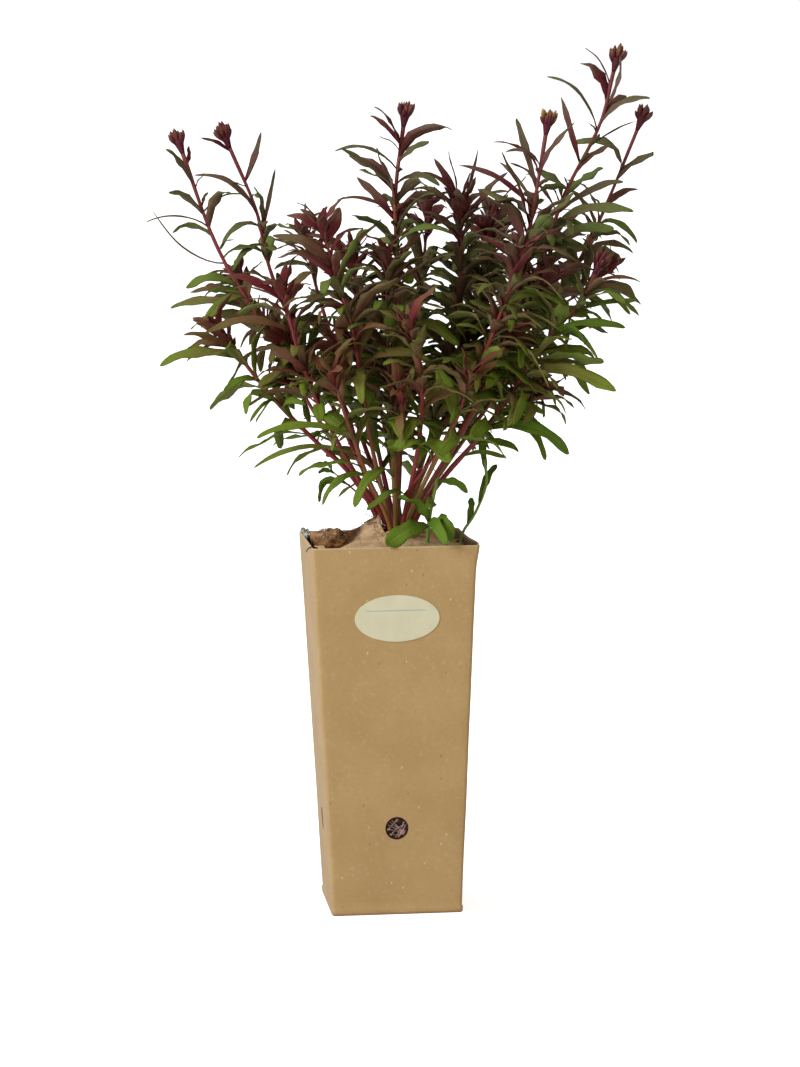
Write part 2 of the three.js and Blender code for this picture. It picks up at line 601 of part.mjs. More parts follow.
function plantPoint([x, y, z]) {
  return new THREE.Vector3(x, y, z).applyAxisAngle(UP, PLANT_TURN);
}

function stemCurve(stem) {
  const foot = plantPoint([...stem.foot, FOOT_DEPTH]);
  return new THREE.CatmullRomCurve3([foot, ...stem.path.map(plantPoint)], false, 'catmullrom', 0.5);
}

function forkCurve(stem) {
  return new THREE.CatmullRomCurve3(stem.fork.map(plantPoint), false, 'catmullrom', 0.5);
}

function stemRadius(stem, along) {
  return THREE.MathUtils.lerp(stem.radius ?? STEM.radius, STEM.tipRadius, along);
}

function shareAtHeight(curve, height) {
  let share = 0;
  while (share < 1 && curve.getPoint(share).z < height) share += 0.005;
  return Math.min(share, 1);
}

function curvePoints(curve, from, spacing) {
  const count = Math.ceil((curve.getLength() * (1 - from)) / spacing);
  return Array.from({ length: count + 1 }, (_, i) => curve.getPoint(from + ((1 - from) * i) / count));
}

// Two directions square to a curve's tangent
function crossAxes(tangent) {
  const first = new THREE.Vector3().crossVectors(tangent, DEPTH).normalize();
  const second = new THREE.Vector3().crossVectors(first, tangent);
  return [first, second];
}

// A blade that the list gives: it grows out of the stem at a height, ends at its tip and turns its face
// forwards.
function handLeaf(curve, [height, tip, width, arch], phase, shift) {
  const axis = curve.getPoint(shareAtHeight(curve, height));
  const end = plantPoint([tip[0], tip[1] + shift, tip[2]]);
  const reach = new THREE.Vector3().subVectors(end, axis);
  const base = axis.addScaledVector(reach.clone().normalize(), -LEAF.sunk);
  const bend = base.clone().lerp(end, 0.5).addScaledVector(UP, arch * reach.length());
  const roll = reach.x < 0 ? -HAND_ROLL : HAND_ROLL;
  return { base, bend, tip: end, width, phase, roll };
}

// A leaf by rule: it leaves the curve steeply, and arches out and down as it goes.
function ruleLeaf(curve, share, turn, look) {
  const axis = curve.getPoint(share);
  const tangent = curve.getTangent(share);
  const [first, second] = crossAxes(tangent);
  const out = first.multiplyScalar(Math.cos(turn)).addScaledVector(second, Math.sin(turn));
  const heading = (angle) => tangent.clone()
    .multiplyScalar(Math.cos(angle))
    .addScaledVector(out, Math.sin(angle));
  const start = heading(look.opening);
  const base = axis.clone().addScaledVector(start, -LEAF.sunk);
  const bend = axis.clone().addScaledVector(start, 0.5 * look.length);
  const tip = axis.clone()
    .addScaledVector(heading(look.opening + look.arch), look.length)
    .addScaledVector(UP, -look.droop * look.length);
  return { base, bend, tip, width: look.width, phase: look.phase, roll: look.roll };
}

// The look of a leaf by its height: long, broad and spreading low on a stem, short and upright at its tip.
function drawLook(share, draw) {
  const { lerp, degToRad } = THREE.MathUtils;
  return {
    length: lerp(...LOOK.length, share) * draw(...LOOK.lengthDraw),
    width: lerp(...LOOK.width, share) * draw(...LOOK.widthDraw),
    opening: degToRad(lerp(...LOOK.opening, share) * draw(...LOOK.openingDraw)),
    arch: degToRad(lerp(...LOOK.arch, share) * draw(...LOOK.archDraw)),
    droop: lerp(...LOOK.droop, share) * draw(...LOOK.droopDraw),
    phase: draw(0, 1),
    roll: draw(...LOOK.rollDraw),
  };
}

// What is tried in turn where a leaf or a side shoot has no room: other turns round the stem (degrees),
// a tip further back or forward, and a shorter leaf
const TURN_TRIES = [0, 22, -22, 45, -45, 70, -70].map((angle) => THREE.MathUtils.degToRad(angle));
const SHOOT_TURN_TRIES = [0, 40, -40, 80, -80, 125, -125].map((angle) => THREE.MathUtils.degToRad(angle));
const SHIFT_TRIES = [0, 7, -7, 14, -14, 21, -21];
const LENGTH_TRIES = [1, 0.72];

// Puts rule leaves on a curve where there is room, and returns those that found it.
function leavesByRule(room, owner, curve, [count, from, to], draw) {
  const placed = [];
  for (let k = 0; k < count; k++) {
    const share = from + ((to - from) * (k + 0.5)) / count;
    const look = drawLook(share, draw);
    const turn = k * GOLDEN_ANGLE + draw(...LOOK.turnDraw);
    const tries = LENGTH_TRIES.flatMap((factor) => TURN_TRIES.map((extra) => ruleLeaf(
      curve, share, turn + extra, { ...look, length: factor * look.length, width: factor * look.width },
    )));
    const leaf = firstFree(room, owner, tries);
    if (leaf) placed.push(leaf);
  }
  return placed;
}

// The first leaf that has room, which it then takes
function firstFree(room, owner, tries, lowest = LOWEST_LEAF) {
  for (const leaf of tries) {
    const points = leafPoints(leaf);
    if (points.some((point) => point.z < lowest)) continue;
    if (!room.isFree(owner, points)) continue;
    room.take(owner, points);
    return leaf;
  }
  return null;
}

// The upright leaves round a tip
function rosetteLeaves(room, owner, curve, draw) {
  const placed = [];
  for (let k = 0; k < ROSETTE.leaves; k++) {
    const share = 1 - ROSETTE.step * (ROSETTE.leaves - k);
    const look = {
      length: draw(...ROSETTE.length),
      width: draw(...ROSETTE.width),
      opening: THREE.MathUtils.degToRad(ROSETTE.opening - ROSETTE.closing * k),
      arch: THREE.MathUtils.degToRad(draw(...ROSETTE.arch)),
      droop: 0,
      phase: draw(0, 1),
      roll: draw(...ROSETTE.rollDraw),
    };
    const turn = k * GOLDEN_ANGLE + draw(...ROSETTE.turnDraw);
    const tries = TURN_TRIES.map((extra) => ruleLeaf(curve, share, turn + extra, look));
    const leaf = firstFree(room, owner, tries);
    if (leaf) placed.push(leaf);
  }
  return placed;
}

// A side shoot leaves the stem in a leaf's axil and ends in a few leaves of its own.
function sideShoot(room, owner, curve, draw) {
  const share = draw(...SHOOT.share);
  const look = { length: draw(...SHOOT.length), opening: 0.7, arch: -0.25, droop: 0 };
  const turn = draw(0, FULL_TURN);
  for (const extra of SHOOT_TURN_TRIES) {
    const { base, bend, tip } = ruleLeaf(curve, share, turn + extra, look);
    const shoot = new THREE.QuadraticBezierCurve3(base, bend, tip);
    const points = curvePoints(shoot, 0.2, 3);
    if (points.some((point) => point.z < LOWEST_LEAF) || !room.isFree(owner, points)) continue;
    room.take(owner, points);
    return shoot;
  }
  return null;
}

// One bud: pointed at both ends, and thickest past its middle
function spindle(foot, tip, radius) {
  const axis = new THREE.Vector3().subVectors(tip, foot).normalize();
  const [first, second] = crossAxes(axis);
  const bud = new THREE.CylinderGeometry(0, 0, 1, 3, 2, true);
  return bent(bud, (along, across, out, round) => {
    const point = foot.clone().lerp(tip, along === 0.5 ? BUD.widest : along);
    const reach = along === 0.5 ? radius : 0;
    return point
      .addScaledVector(first, reach * Math.sin(FULL_TURN * round))
      .addScaledVector(second, reach * Math.cos(FULL_TURN * round));
  });
}

function budHead(curve, draw) {
  const tangent = curve.getTangent(1);
  const axis = curve.getPoint(1).addScaledVector(tangent, GAP);
  const [first, second] = crossAxes(tangent);
  const coreEnd = axis.clone().addScaledVector(tangent, BUD.core);
  const coreRadius = (along) => BUD.coreRadius + BUD.coreFlare * along;
  const pieces = [tube(new THREE.LineCurve3(axis, coreEnd), coreRadius, BUD.coreSides, 1)];
  for (let k = 0; k < BUD.count; k++) {
    const turn = k * GOLDEN_ANGLE;
    const spread = BUD.spread * Math.sqrt(k / BUD.count);
    const out = first.clone().multiplyScalar(Math.cos(turn)).addScaledVector(second, Math.sin(turn));
    const foot = axis.clone().addScaledVector(tangent, BUD.foot).addScaledVector(out, 0.3 * spread);
    const rise = BUD.core + BUD.length * draw(...BUD.rise) - BUD.fall * spread;
    const tip = axis.clone().addScaledVector(tangent, rise).addScaledVector(out, BUD.lean * spread);
    pieces.push(spindle(foot, tip, BUD.radius));
  }
  return joined(pieces);
}

// Grows every stem: the curves take their room first, then the hand-placed blades, then shoots and leaves.
function growPlant() {
  const room = new Room();
  const plants = [...STEMS, ...SHOOTS_FROM_SOIL].map((stem, index) => ({
    stem,
    draw: drawer(index + 1),
    curve: stemCurve(stem),
    curves: [],
    leaves: [],
  }));
  for (const plant of plants) {
    plant.curves.push(plant.curve);
    if (plant.stem.fork) plant.curves.push(forkCurve(plant.stem));
    for (const curve of plant.curves) room.take(plant.stem.name, curvePoints(curve, 0, 3));
  }
  for (const { stem, draw, curve, leaves } of plants) {
    const shifts = stem.low ? SHIFT_TRIES.slice(0, 3) : SHIFT_TRIES;
    const lowest = stem.low ? 0 : LOWEST_LEAF;
    for (const blade of stem.blades) {
      const phase = draw(0, 1);
      const tries = shifts.map((shift) => handLeaf(curve, blade, phase, shift));
      const leaf = firstFree(room, stem.name, tries, lowest);
      if (leaf) leaves.push(leaf);
    }
  }
  for (const { stem, draw, curves, leaves } of plants) {
    if (stem.tip === 'rosette') {
      for (const curve of curves) leaves.push(...rosetteLeaves(room, stem.name, curve, draw));
    }
  }
  for (const plant of plants) {
    const { stem, draw, curve, curves, leaves } = plant;
    for (let count = 0; count < stem.shoots; count++) {
      const shoot = sideShoot(room, stem.name, curve, draw);
      if (shoot) {
        curves.push(shoot);
        leaves.push(...leavesByRule(room, stem.name, shoot, SHOOT.leaves, draw));
      }
    }
    leaves.push(...leavesByRule(room, stem.name, curve, stem.leaves, draw));
    if (stem.fork) leaves.push(...leavesByRule(room, stem.name, curves[1], FORK_LEAVES, draw));
  }
  return plants;
}

// The young shoots bend more sharply, so their rods have shorter steps.
function stemSteps(stem, curve) {
  return Math.ceil(curve.getLength() / (stem.low ? STEM.step / 3 : STEM.step));
}

function makePlant({ stem, curves, leaves }) {
  const [main, ...others] = curves;
  const shootRadius = (along) => THREE.MathUtils.lerp(SHOOT.radius, SHOOT.tipRadius, along);
  const rods = [tube(main, (along) => stemRadius(stem, along), STEM.sides, stemSteps(stem, main))];
  for (const curve of others) {
    rods.push(tube(curve, shootRadius, SHOOT.sides, stemSteps(stem, curve) + 1));
  }
  const solid = joined([...rods, ...leaves.map(leafGeometry)]);
  return meshOf(stem.name, solid, MATERIALS.foliage);
}

// The hole that a stem stands in is the stem itself, grown by a little more than the gap, because the flats
// of a faceted rod lie closer to its middle than its corners.
function holeCutters(plants) {
  return joined(plants.map(({ stem, curve }) => tube(
    curve, (along) => stemRadius(stem, along) + 1.25 * GAP, STEM.sides, stemSteps(stem, curve), GAP,
  )));
}

const plants = growPlant();
const cutters = holeCutters(plants);

const pottedGaura = new THREE.Group();
pottedGaura.add(makePot(), makeLabel(), makeSoil(cutters), makeCover(cutters), makeStraws());
['front', 'right', 'back', 'left'].forEach((wall, index) => {
  pottedGaura.add(makeDrainRoots(`drain_roots_${wall}`, (index * FULL_TURN) / 4, DRAIN.seed + index));
});
for (const plant of plants) {
  pottedGaura.add(makePlant(plant));
  if (plant.stem.tip === 'buds') {
    const name = plant.stem.name.replace('stem', 'buds');
    pottedGaura.add(meshOf(name, budHead(plant.curve, plant.draw), MATERIALS.bud));
  }
}

export default pottedGaura;
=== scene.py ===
# %% [markdown]
# # A potted gaura
#
# The object is a bushy perennial with twenty-three leafy stems, sold in a tall square pot of brown board. A
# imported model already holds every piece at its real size. This lesson dresses it: each stem, bud head and
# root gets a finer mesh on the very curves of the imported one, the pot and its contents get their worn
# surfaces, and every finish is a small node tree. Sizes are in millimetres while a shape is worked out, and
# in metres in its mesh.

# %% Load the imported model
import math
from collections import defaultdict

import bmesh
import bpy
import numpy as np
from mathutils import Matrix, Vector, noise


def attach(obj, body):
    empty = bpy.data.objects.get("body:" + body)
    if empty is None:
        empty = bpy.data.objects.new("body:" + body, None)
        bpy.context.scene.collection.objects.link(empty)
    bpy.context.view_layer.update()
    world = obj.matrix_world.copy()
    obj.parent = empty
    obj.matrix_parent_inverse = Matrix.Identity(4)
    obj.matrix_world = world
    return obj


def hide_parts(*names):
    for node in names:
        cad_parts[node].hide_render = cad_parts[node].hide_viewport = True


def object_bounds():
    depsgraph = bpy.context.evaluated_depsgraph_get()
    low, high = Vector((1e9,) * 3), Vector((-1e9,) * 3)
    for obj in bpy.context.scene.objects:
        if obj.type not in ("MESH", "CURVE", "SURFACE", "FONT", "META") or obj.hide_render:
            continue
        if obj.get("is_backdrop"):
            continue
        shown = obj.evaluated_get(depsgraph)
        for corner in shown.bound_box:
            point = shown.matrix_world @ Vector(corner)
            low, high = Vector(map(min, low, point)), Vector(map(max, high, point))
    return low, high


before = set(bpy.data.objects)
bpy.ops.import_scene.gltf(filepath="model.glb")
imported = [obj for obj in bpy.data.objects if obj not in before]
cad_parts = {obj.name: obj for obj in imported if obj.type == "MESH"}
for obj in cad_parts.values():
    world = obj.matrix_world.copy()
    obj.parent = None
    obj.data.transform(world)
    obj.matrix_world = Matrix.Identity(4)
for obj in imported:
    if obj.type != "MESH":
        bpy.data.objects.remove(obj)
cad_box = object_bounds()
print("nodes:", len(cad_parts), "box:", [tuple(round(c, 4) for c in corner) for corner in cad_box])

# %% [markdown]
# ## Camera
#
# A long lens stands 2.2 m from the pot, a little above it and turned a few degrees to its left, so that the
# left wall shows as a narrow strip. A camera can be placed by eye. This one's place came from a fit to the
# pot's corners, because a fitted camera also lets every stem be measured.

# %% Camera
MM = 0.001
FULL_TURN = 2 * math.pi
PHOTO_HEIGHT = 1067
FOCAL_PIXELS = 4029
SENSOR = 36
VIEW_TURN = math.radians(5.59)
VIEW_PITCH = math.radians(6.32)
VIEW_ROLL = math.radians(-0.72)
VIEW_EYE = Vector((-0.2070, -2.1902, 0.449))


def make_camera():
    """Stands the camera at the eye, turned, pitched down and rolled."""
    data = bpy.data.cameras.new("camera")
    data.sensor_width = SENSOR
    data.lens = SENSOR * FOCAL_PIXELS / PHOTO_HEIGHT
    camera = bpy.data.objects.new("camera", data)
    bpy.context.scene.collection.objects.link(camera)
    level = Vector((math.sin(VIEW_TURN), math.cos(VIEW_TURN), 0))
    forward = level * math.cos(VIEW_PITCH) - Vector((0, 0, math.sin(VIEW_PITCH)))
    right = Vector((math.cos(VIEW_TURN), -math.sin(VIEW_TURN), 0))
    up = right.cross(forward)
    rolled_right = right * math.cos(VIEW_ROLL) + up * math.sin(VIEW_ROLL)
    rolled_up = up * math.cos(VIEW_ROLL) - right * math.sin(VIEW_ROLL)
    place = Matrix((rolled_right, rolled_up, -forward)).transposed().to_4x4()
    place.translation = VIEW_EYE
    camera.matrix_world = place
    bpy.context.scene.camera = camera
    return camera


print("lens:", round(make_camera().data.lens, 1), "mm")

# %% [markdown]
# ## Floor and light
#
# The plant stands on white, in soft light from the left. A curved backdrop would give that too, but it
# would hide the plant from behind. So the floor is a wide pale disc, and a white sky meets it at the
# horizon. The sky looks white to the camera and lights the plant only a little. Three square lamps model
# it: a strong one at the left, and weak ones in front and above.

# %% Floor and light
WHITE = (1, 1, 1, 1)
BLACK = (0, 0, 0, 1)
FLOOR_RADIUS = 60
SKY_LIGHT = 0.42
SKY_SEEN = 1.05


def place_object(name, mesh):
    """Links a mesh into the scene as an object at the origin."""
    made = bpy.data.objects.new(name, mesh)
    bpy.context.scene.collection.objects.link(made)
    return made


def make_floor():
    """A wide disc, level with the foot of the pot."""
    bm = bmesh.new()
    bmesh.ops.create_circle(bm, cap_ends=True, segments=64, radius=FLOOR_RADIUS)
    mesh = bpy.data.meshes.new("floor")
    bm.to_mesh(mesh)
    bm.free()
    return place_object("floor", mesh)


def soft_light(name, place, target, size, watts, color=(1, 1, 1)):
    """A square area light that faces a target point."""
    data = bpy.data.lights.new(name, "AREA")
    data.size = size
    data.energy = watts
    data.color = color
    light = bpy.data.objects.new(name, data)
    light.location = place
    light.rotation_euler = (Vector(target) - Vector(place)).to_track_quat("-Z", "Y").to_euler()
    bpy.context.scene.collection.objects.link(light)
    return light


def white_sky():
    """A sky that looks white and gives only a little light, so that the lamps model the plant."""
    world = bpy.data.worlds.new("sky")
    world.use_nodes = True
    tree = world.node_tree
    rays = tree.nodes.new("ShaderNodeLightPath")
    level = tree.nodes.new("ShaderNodeMapRange")
    level.inputs["To Min"].default_value = SKY_LIGHT
    level.inputs["To Max"].default_value = SKY_SEEN
    tree.links.new(rays.outputs["Is Camera Ray"], level.inputs["Value"])
    background = tree.nodes["Background"]
    background.inputs["Color"].default_value = WHITE
    tree.links.new(level.outputs["Result"], background.inputs["Strength"])
    return world


floor = make_floor()
floor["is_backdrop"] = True
MIDDLE = (0, 0, 0.25)
soft_light("light_left", (-2.2, -1.2, 1.6), MIDDLE, 1.4, 93, (0.85, 0.97, 1.26))
soft_light("light_front", (0.9, -2.4, 1.7), MIDDLE, 1.6, 14)
soft_light("light_top", (0.2, 0.6, 2.6), MIDDLE, 1.8, 15)
bpy.context.scene.world = white_sky()
bpy.context.scene.view_settings.view_transform = "Standard"

# %% [markdown]
# ## A small language for finishes
#
# A finish is a node tree. It could be linked node by node, but a long list of links hides what a pattern
# does, and a node tree reads best as arithmetic. Number wraps one socket, so that Python's operators on it
# add Math nodes. Finish holds a material and has one method that adds any other node. Whatever is the same
# all over a surface is set on the shader's own sockets.

# %% Numbers and finishes
class Number:
    """A number in a node tree. Operators on it add Math nodes."""

    def __init__(self, finish, socket):
        self.finish = finish
        self.socket = socket

    def math(self, operation, first, second=0.0):
        return self.finish.node("ShaderNodeMath", {"operation": operation}, {0: first, 1: second})

    def __add__(self, other):
        return self.math("ADD", self, other)

    def __radd__(self, other):
        return self.math("ADD", other, self)

    def __sub__(self, other):
        return self.math("SUBTRACT", self, other)

    def __rsub__(self, other):
        return self.math("SUBTRACT", other, self)

    def __mul__(self, other):
        return self.math("MULTIPLY", self, other)

    def __rmul__(self, other):
        return self.math("MULTIPLY", other, self)

    def __pow__(self, other):
        return self.math("POWER", self, other)

    def __abs__(self):
        return self.math("ABSOLUTE", self)

    def sine(self):
        return self.math("SINE", self)

    def above(self, low, high):
        """0 below low, 1 above high, and smooth between them."""
        settings = {"interpolation_type": "SMOOTHSTEP"}
        inputs = {"Value": self, "From Min": low, "From Max": high}
        return self.finish.node("ShaderNodeMapRange", settings, inputs)


class Finish:
    """A material that is built up node by node."""

    def __init__(self, name, **constants):
        self.material = bpy.data.materials.new(name)
        self.material.use_nodes = True
        self.tree = self.material.node_tree
        self.shader = self.tree.nodes["Principled BSDF"]
        for socket, value in constants.items():
            self.shader.inputs[socket.replace("_", " ").title().replace("Ior", "IOR")].default_value = value

    def node(self, kind, settings=None, inputs=None, output=0):
        """Adds a node, sets it up, fills its sockets with values or links, and returns one of its outputs."""
        node = self.tree.nodes.new(kind)
        for key, value in (settings or {}).items():
            setattr(node, key, value)
        for key, value in (inputs or {}).items():
            self.fill(node.inputs[key], value)
        return Number(self, node.outputs[output])

    def fill(self, socket, value):
        """Links a Number into a socket, or sets the socket's own value."""
        if isinstance(value, Number):
            self.tree.links.new(value.socket, socket)
        else:
            socket.default_value = value

    def place(self, scale=(1, 1, 1)):
        """The point of the surface on its own object, stretched by scale."""
        point = self.node("ShaderNodeTexCoord", output="Object")
        return self.node("ShaderNodeMapping", None, {"Vector": point, "Scale": scale})

    def axes(self, vector):
        """The three numbers of a vector or a colour."""
        return [self.node("ShaderNodeSeparateXYZ", None, {0: vector}, output=axis) for axis in "XYZ"]

    def noise(self, vector, scale, detail=3, roughness=0.5):
        inputs = {"Vector": vector, "Scale": scale, "Detail": detail, "Roughness": roughness}
        return self.node("ShaderNodeTexNoise", None, inputs)

    def mix(self, share, first, second):
        """The first colour where share is 0, and the second where it is 1."""
        inputs = {0: share, 6: first, 7: second}
        return self.node("ShaderNodeMix", {"data_type": "RGBA"}, inputs, output=2)

    def relief(self, height, distance):
        """Lets a height, times a distance in metres, tilt the surface."""
        bump = self.node("ShaderNodeBump", None, {"Height": height, "Distance": distance})
        self.fill(self.shader.inputs["Normal"], bump)

    def paint(self, color, roughness=None):
        self.fill(self.shader.inputs["Base Color"], color)
        if roughness is not None:
            self.fill(self.shader.inputs["Roughness"], roughness)
        return self.material


def tone(red, green, blue):
    """A colour as a light value, from the 0 to 255 that a paint chart gives."""
    shares = [channel / 255 for channel in (red, green, blue)]
    return (*[s / 12.92 if s <= 0.04 else ((s + 0.055) / 1.055) ** 2.4 for s in shares], 1)

# %% [markdown]
# ## The floor's finish
#
# A plain white disc turns grey away from the lamps. This one glows a little for the camera alone, so that
# it looks white out to the horizon, keeps a faint shadow close to the pot, and throws no extra light on it.

# %% Floor finish
FLOOR_GLOW = (0.62, 1.0)
GLOW_REACH = (0.1, 0.6)


def floor_finish():
    """White paper that the camera sees as white, with a faint shadow close to the pot."""
    paper = tone(235, 235, 235)
    finish = Finish("white_paper", base_color=paper, emission_strength=1, specular_ior_level=0.1)
    x, y, _ = finish.axes(finish.place())
    away = (x * x + y * y) ** 0.5
    seen = finish.node("ShaderNodeLightPath")
    glow = FLOOR_GLOW[0] + (FLOOR_GLOW[1] - FLOOR_GLOW[0]) * away.above(*GLOW_REACH)
    finish.fill(finish.shader.inputs["Emission Color"], finish.mix(glow * seen, BLACK, WHITE))
    return finish.material


floor.data.materials.append(floor_finish())
print("floor:", floor.data.materials[0].name)

# %% [markdown]
# ## Board, label, fibre and soil
#
# The board is plain brown solid board: a calm mottling, faint streaks, and scattered light and dark flecks
# of waste paper. Inside the rim it is dark, partly with dampness and partly with painted shade of the
# recess. A picture of board could be laid over the walls, but it would stretch at the corners and show its
# pixels close up. Here each pattern is a noise at its real size in the board. The flecks come from a pattern
# of cells, because a cell has a random colour of its own, which picks the few that show. Paper, fibre, soil
# and roots are simpler mixes of the same kind.

# %% Board, label, fibre and soil
def board_finish():
    """Brown solid board: mottled, flecked, and dark inside the rim with dampness and painted shade."""
    finish = Finish("brown_board", specular_ior_level=0.25, sheen_weight=0.14, sheen_roughness=0.4)
    place = finish.place()
    mottle = finish.noise(place, 28, 4, 0.6)
    grain = finish.noise(finish.place((1, 1, 3)), 900, 2, 0.7)
    chips = finish.noise(place, 420, 3, 0.8)
    spread = finish.place((1, 1, 0.6))
    cells = {"Vector": spread, "Scale": 330}
    flecks = finish.node("ShaderNodeTexVoronoi", None, cells)
    chance = finish.axes(finish.node("ShaderNodeTexVoronoi", None, cells, output=1))[0]
    fleck = 1 - flecks.above(0.06, 0.2)
    pale = fleck * chance.above(0.93, 0.94)
    dark = fleck * (1 - chance.above(0.05, 0.06))
    color = finish.mix(mottle.above(0.3, 0.75), tone(163, 128, 75), tone(173, 138, 85))
    color = finish.mix(grain.above(0.35, 0.8) * 0.5, color, tone(158, 127, 84))
    color = finish.mix(chips.above(0.56, 0.7) * 0.4, color, tone(190, 154, 116))
    color = finish.mix((1 - chips.above(0.32, 0.44)) * 0.4, color, tone(146, 120, 72))
    color = finish.mix(pale * 0.45, color, tone(222, 200, 160))
    color = finish.mix(dark * 0.6, color, tone(100, 74, 48))
    tint = finish.node("ShaderNodeAttribute", {"attribute_name": "tint"})
    inside, edge, _ = finish.axes(tint)
    # Inside the rim the board is darkened: partly dampness, partly painted shade of the recess.
    wet_and_shade = inside * (0.9 + 0.2 * finish.noise(place, 60).above(0.3, 0.7))
    color = finish.mix(wet_and_shade, color, tone(94, 60, 24))
    color = finish.mix(edge * 0.5, color, tone(206, 180, 138))
    worn = 1 - (finish.axes(place)[2] + 0.0012 * (chips - 0.5)).above(0.0004, 0.0022)
    color = finish.mix(worn * 0.6, color, tone(132, 86, 52))
    finish.relief(grain + 0.5 * mottle, 0.00012)
    return finish.paint(color, 0.82 + 0.1 * grain)


def label_finish():
    """Cream paper with one thin ruled line in grey-blue."""
    finish = Finish("cream_paper", specular_ior_level=0.35)
    place = finish.place()
    across, _, height = finish.axes(place)
    grain = finish.noise(place, 1500, 2)
    off_line = abs(height - LINE_Z * MM).above(0.0002, 0.00035)
    off_end = abs(across - LINE_X * MM).above(LINE_HALF * MM, LINE_HALF * MM + 0.0002)
    line = (1 - off_line) * (1 - off_end)
    color = finish.mix(finish.noise(place, 90).above(0.3, 0.7), tone(199, 187, 147), tone(193, 181, 140))
    color = finish.mix(line * 0.6, color, tone(110, 136, 150))
    finish.relief(grain, 0.00003)
    return finish.paint(color, 0.6)


def fibre_finish():
    """Matted plant fibre, darkened by its tint in places and by painted shade, so that crests stay paler."""
    finish = Finish("matted_fibre", specular_ior_level=0.15)
    place = finish.place()
    coarse = finish.noise(place, 160, 5, 0.7)
    strands = finish.noise(finish.place((1, 4, 1)), 700, 3, 0.7)
    tint = finish.node("ShaderNodeAttribute", {"attribute_name": "tint"})
    dark_and_shade, lump, _ = finish.axes(tint)
    color = finish.mix(coarse.above(0.3, 0.7), tone(176, 136, 90), tone(216, 176, 124))
    color = finish.mix(strands.above(0.45, 0.7) * 0.6, color, tone(232, 202, 154))
    # The first tint channel darkens the fibre: painted shade in the sheet's fold and low on the clump, the
    # sheet's darker edge, and the dark twig.
    color = finish.mix(dark_and_shade, color, tone(76, 48, 22))
    color = finish.mix(lump * coarse.above(0.3, 0.6), color, tone(150, 98, 52))
    finish.relief(strands + coarse, 0.0006)
    return finish.paint(color, 0.95)


def soil_finish():
    """Damp peat with paler crumbs."""
    finish = Finish("damp_peat", specular_ior_level=0.3)
    place = finish.place()
    lumps = finish.noise(place, 260, 6, 0.75)
    color = finish.mix(lumps.above(0.35, 0.7), tone(46, 27, 20), tone(104, 66, 50))
    finish.relief(lumps, 0.0015)
    return finish.paint(color, 0.9)


def strand_finish(name, dark, light, scale):
    """Roots, straws or moss: streaked between two colours."""
    finish = Finish(name, specular_ior_level=0.3)
    streak = finish.noise(finish.place(), scale, 3, 0.6)
    color = finish.mix(streak.above(0.35, 0.65), dark, light)
    finish.relief(streak, 0.0003)
    return finish.paint(color, 0.75)


LINE_X = 0.5
LINE_Z = 168.3
LINE_HALF = 16
BOARD = board_finish()
LABEL_PAPER = label_finish()
FIBRE = fibre_finish()
SOIL_FINISH = soil_finish()
ROOT = strand_finish("fine_roots", tone(98, 70, 58), tone(162, 130, 112), 500)
STRAW = strand_finish("dry_straw", tone(160, 128, 84), tone(222, 200, 156), 700)
MOSS = strand_finish("moss_crumbs", tone(62, 54, 34), tone(192, 182, 154), 300)
print("finishes:", len(bpy.data.materials))

# %% [markdown]
# ## Leaves, stems and buds
#
# A leaf is dark red while it is young, then bronze, then green, with a midrib, faint side veins and a paler
# back. A material for each shade would need dozens of them. Instead the leaves carry a colour attribute
# called tint, which holds a number from dark red to green, a lightness, and whether the point is on the
# underside. That keeps one finish for all the leaves, each a little different. Stems and buds use the same
# attribute for the place along them, a lightness, and how woody or golden they are.

# %% Leaves, stems and buds
def leaf_finish():
    """A leaf's two faces: dark red to green by its tint, with a midrib, faint side veins, a paler back, a
    painted grey sheen near the plant's top and painted light low down.
    """
    finish = Finish("gaura_leaf", specular_ior_level=0.06)
    tint = finish.node("ShaderNodeAttribute", {"attribute_name": "tint"})
    green, light, under = finish.axes(tint)
    along, across, _ = finish.axes(finish.node("ShaderNodeUVMap"))
    off_middle = abs(across - 0.5)
    place = finish.place()
    patches = finish.noise(place, 130, 3)
    ripe = green + 0.4 * along + 0.3 * (patches - 0.5) + 0.12 * off_middle - 0.2
    bronzed, greened = ripe.above(0, 0.4), ripe.above(0.3, 0.9)

    def ramp(young, flushed, grown):
        return finish.mix(greened, finish.mix(bronzed, tone(*young), tone(*flushed)), tone(*grown))

    upper = ramp((90, 20, 20), (92, 68, 30), (84, 98, 14))
    shaded = ramp((110, 46, 42), (106, 86, 54), (102, 112, 42))
    color = finish.mix(under, upper, shaded)
    color = finish.mix(light.above(0, 1) * 0.45, color, ramp((122, 44, 42), (120, 100, 56), (112, 124, 32)))
    color = finish.mix(green.above(1, 1.4) * 0.8, color, tone(68, 98, 12))
    rib = 1 - off_middle.above(0.03, 0.075)
    color = finish.mix(rib * 0.4, color, ramp((124, 46, 44), (124, 88, 60), (120, 124, 62)))
    veins = ((along * 11 - off_middle * 7) * FULL_TURN).sine()
    height = finish.axes(place)[2]
    # Leaves near the plant's top are greyed: a painted sheen of the sky on them.
    color = finish.mix(height.above(0.29, 0.42) * 0.4, color, ramp((86, 44, 50), (98, 80, 74), (92, 102, 76)))
    # Leaves low on the plant are lightened as painted light.
    low = 1 - height.above(0.24, 0.32)
    color = finish.mix(low * 0.3, color, ramp((130, 56, 46), (126, 108, 62), (110, 128, 46)))
    rim = off_middle.above(0.4, 0.5)
    color = finish.mix(rim * 0.3, color, tone(74, 26, 28))
    finish.relief(0.35 * veins - 1.2 * rib + patches, 0.00018)
    return finish.paint(color, 0.5 + 0.12 * patches)


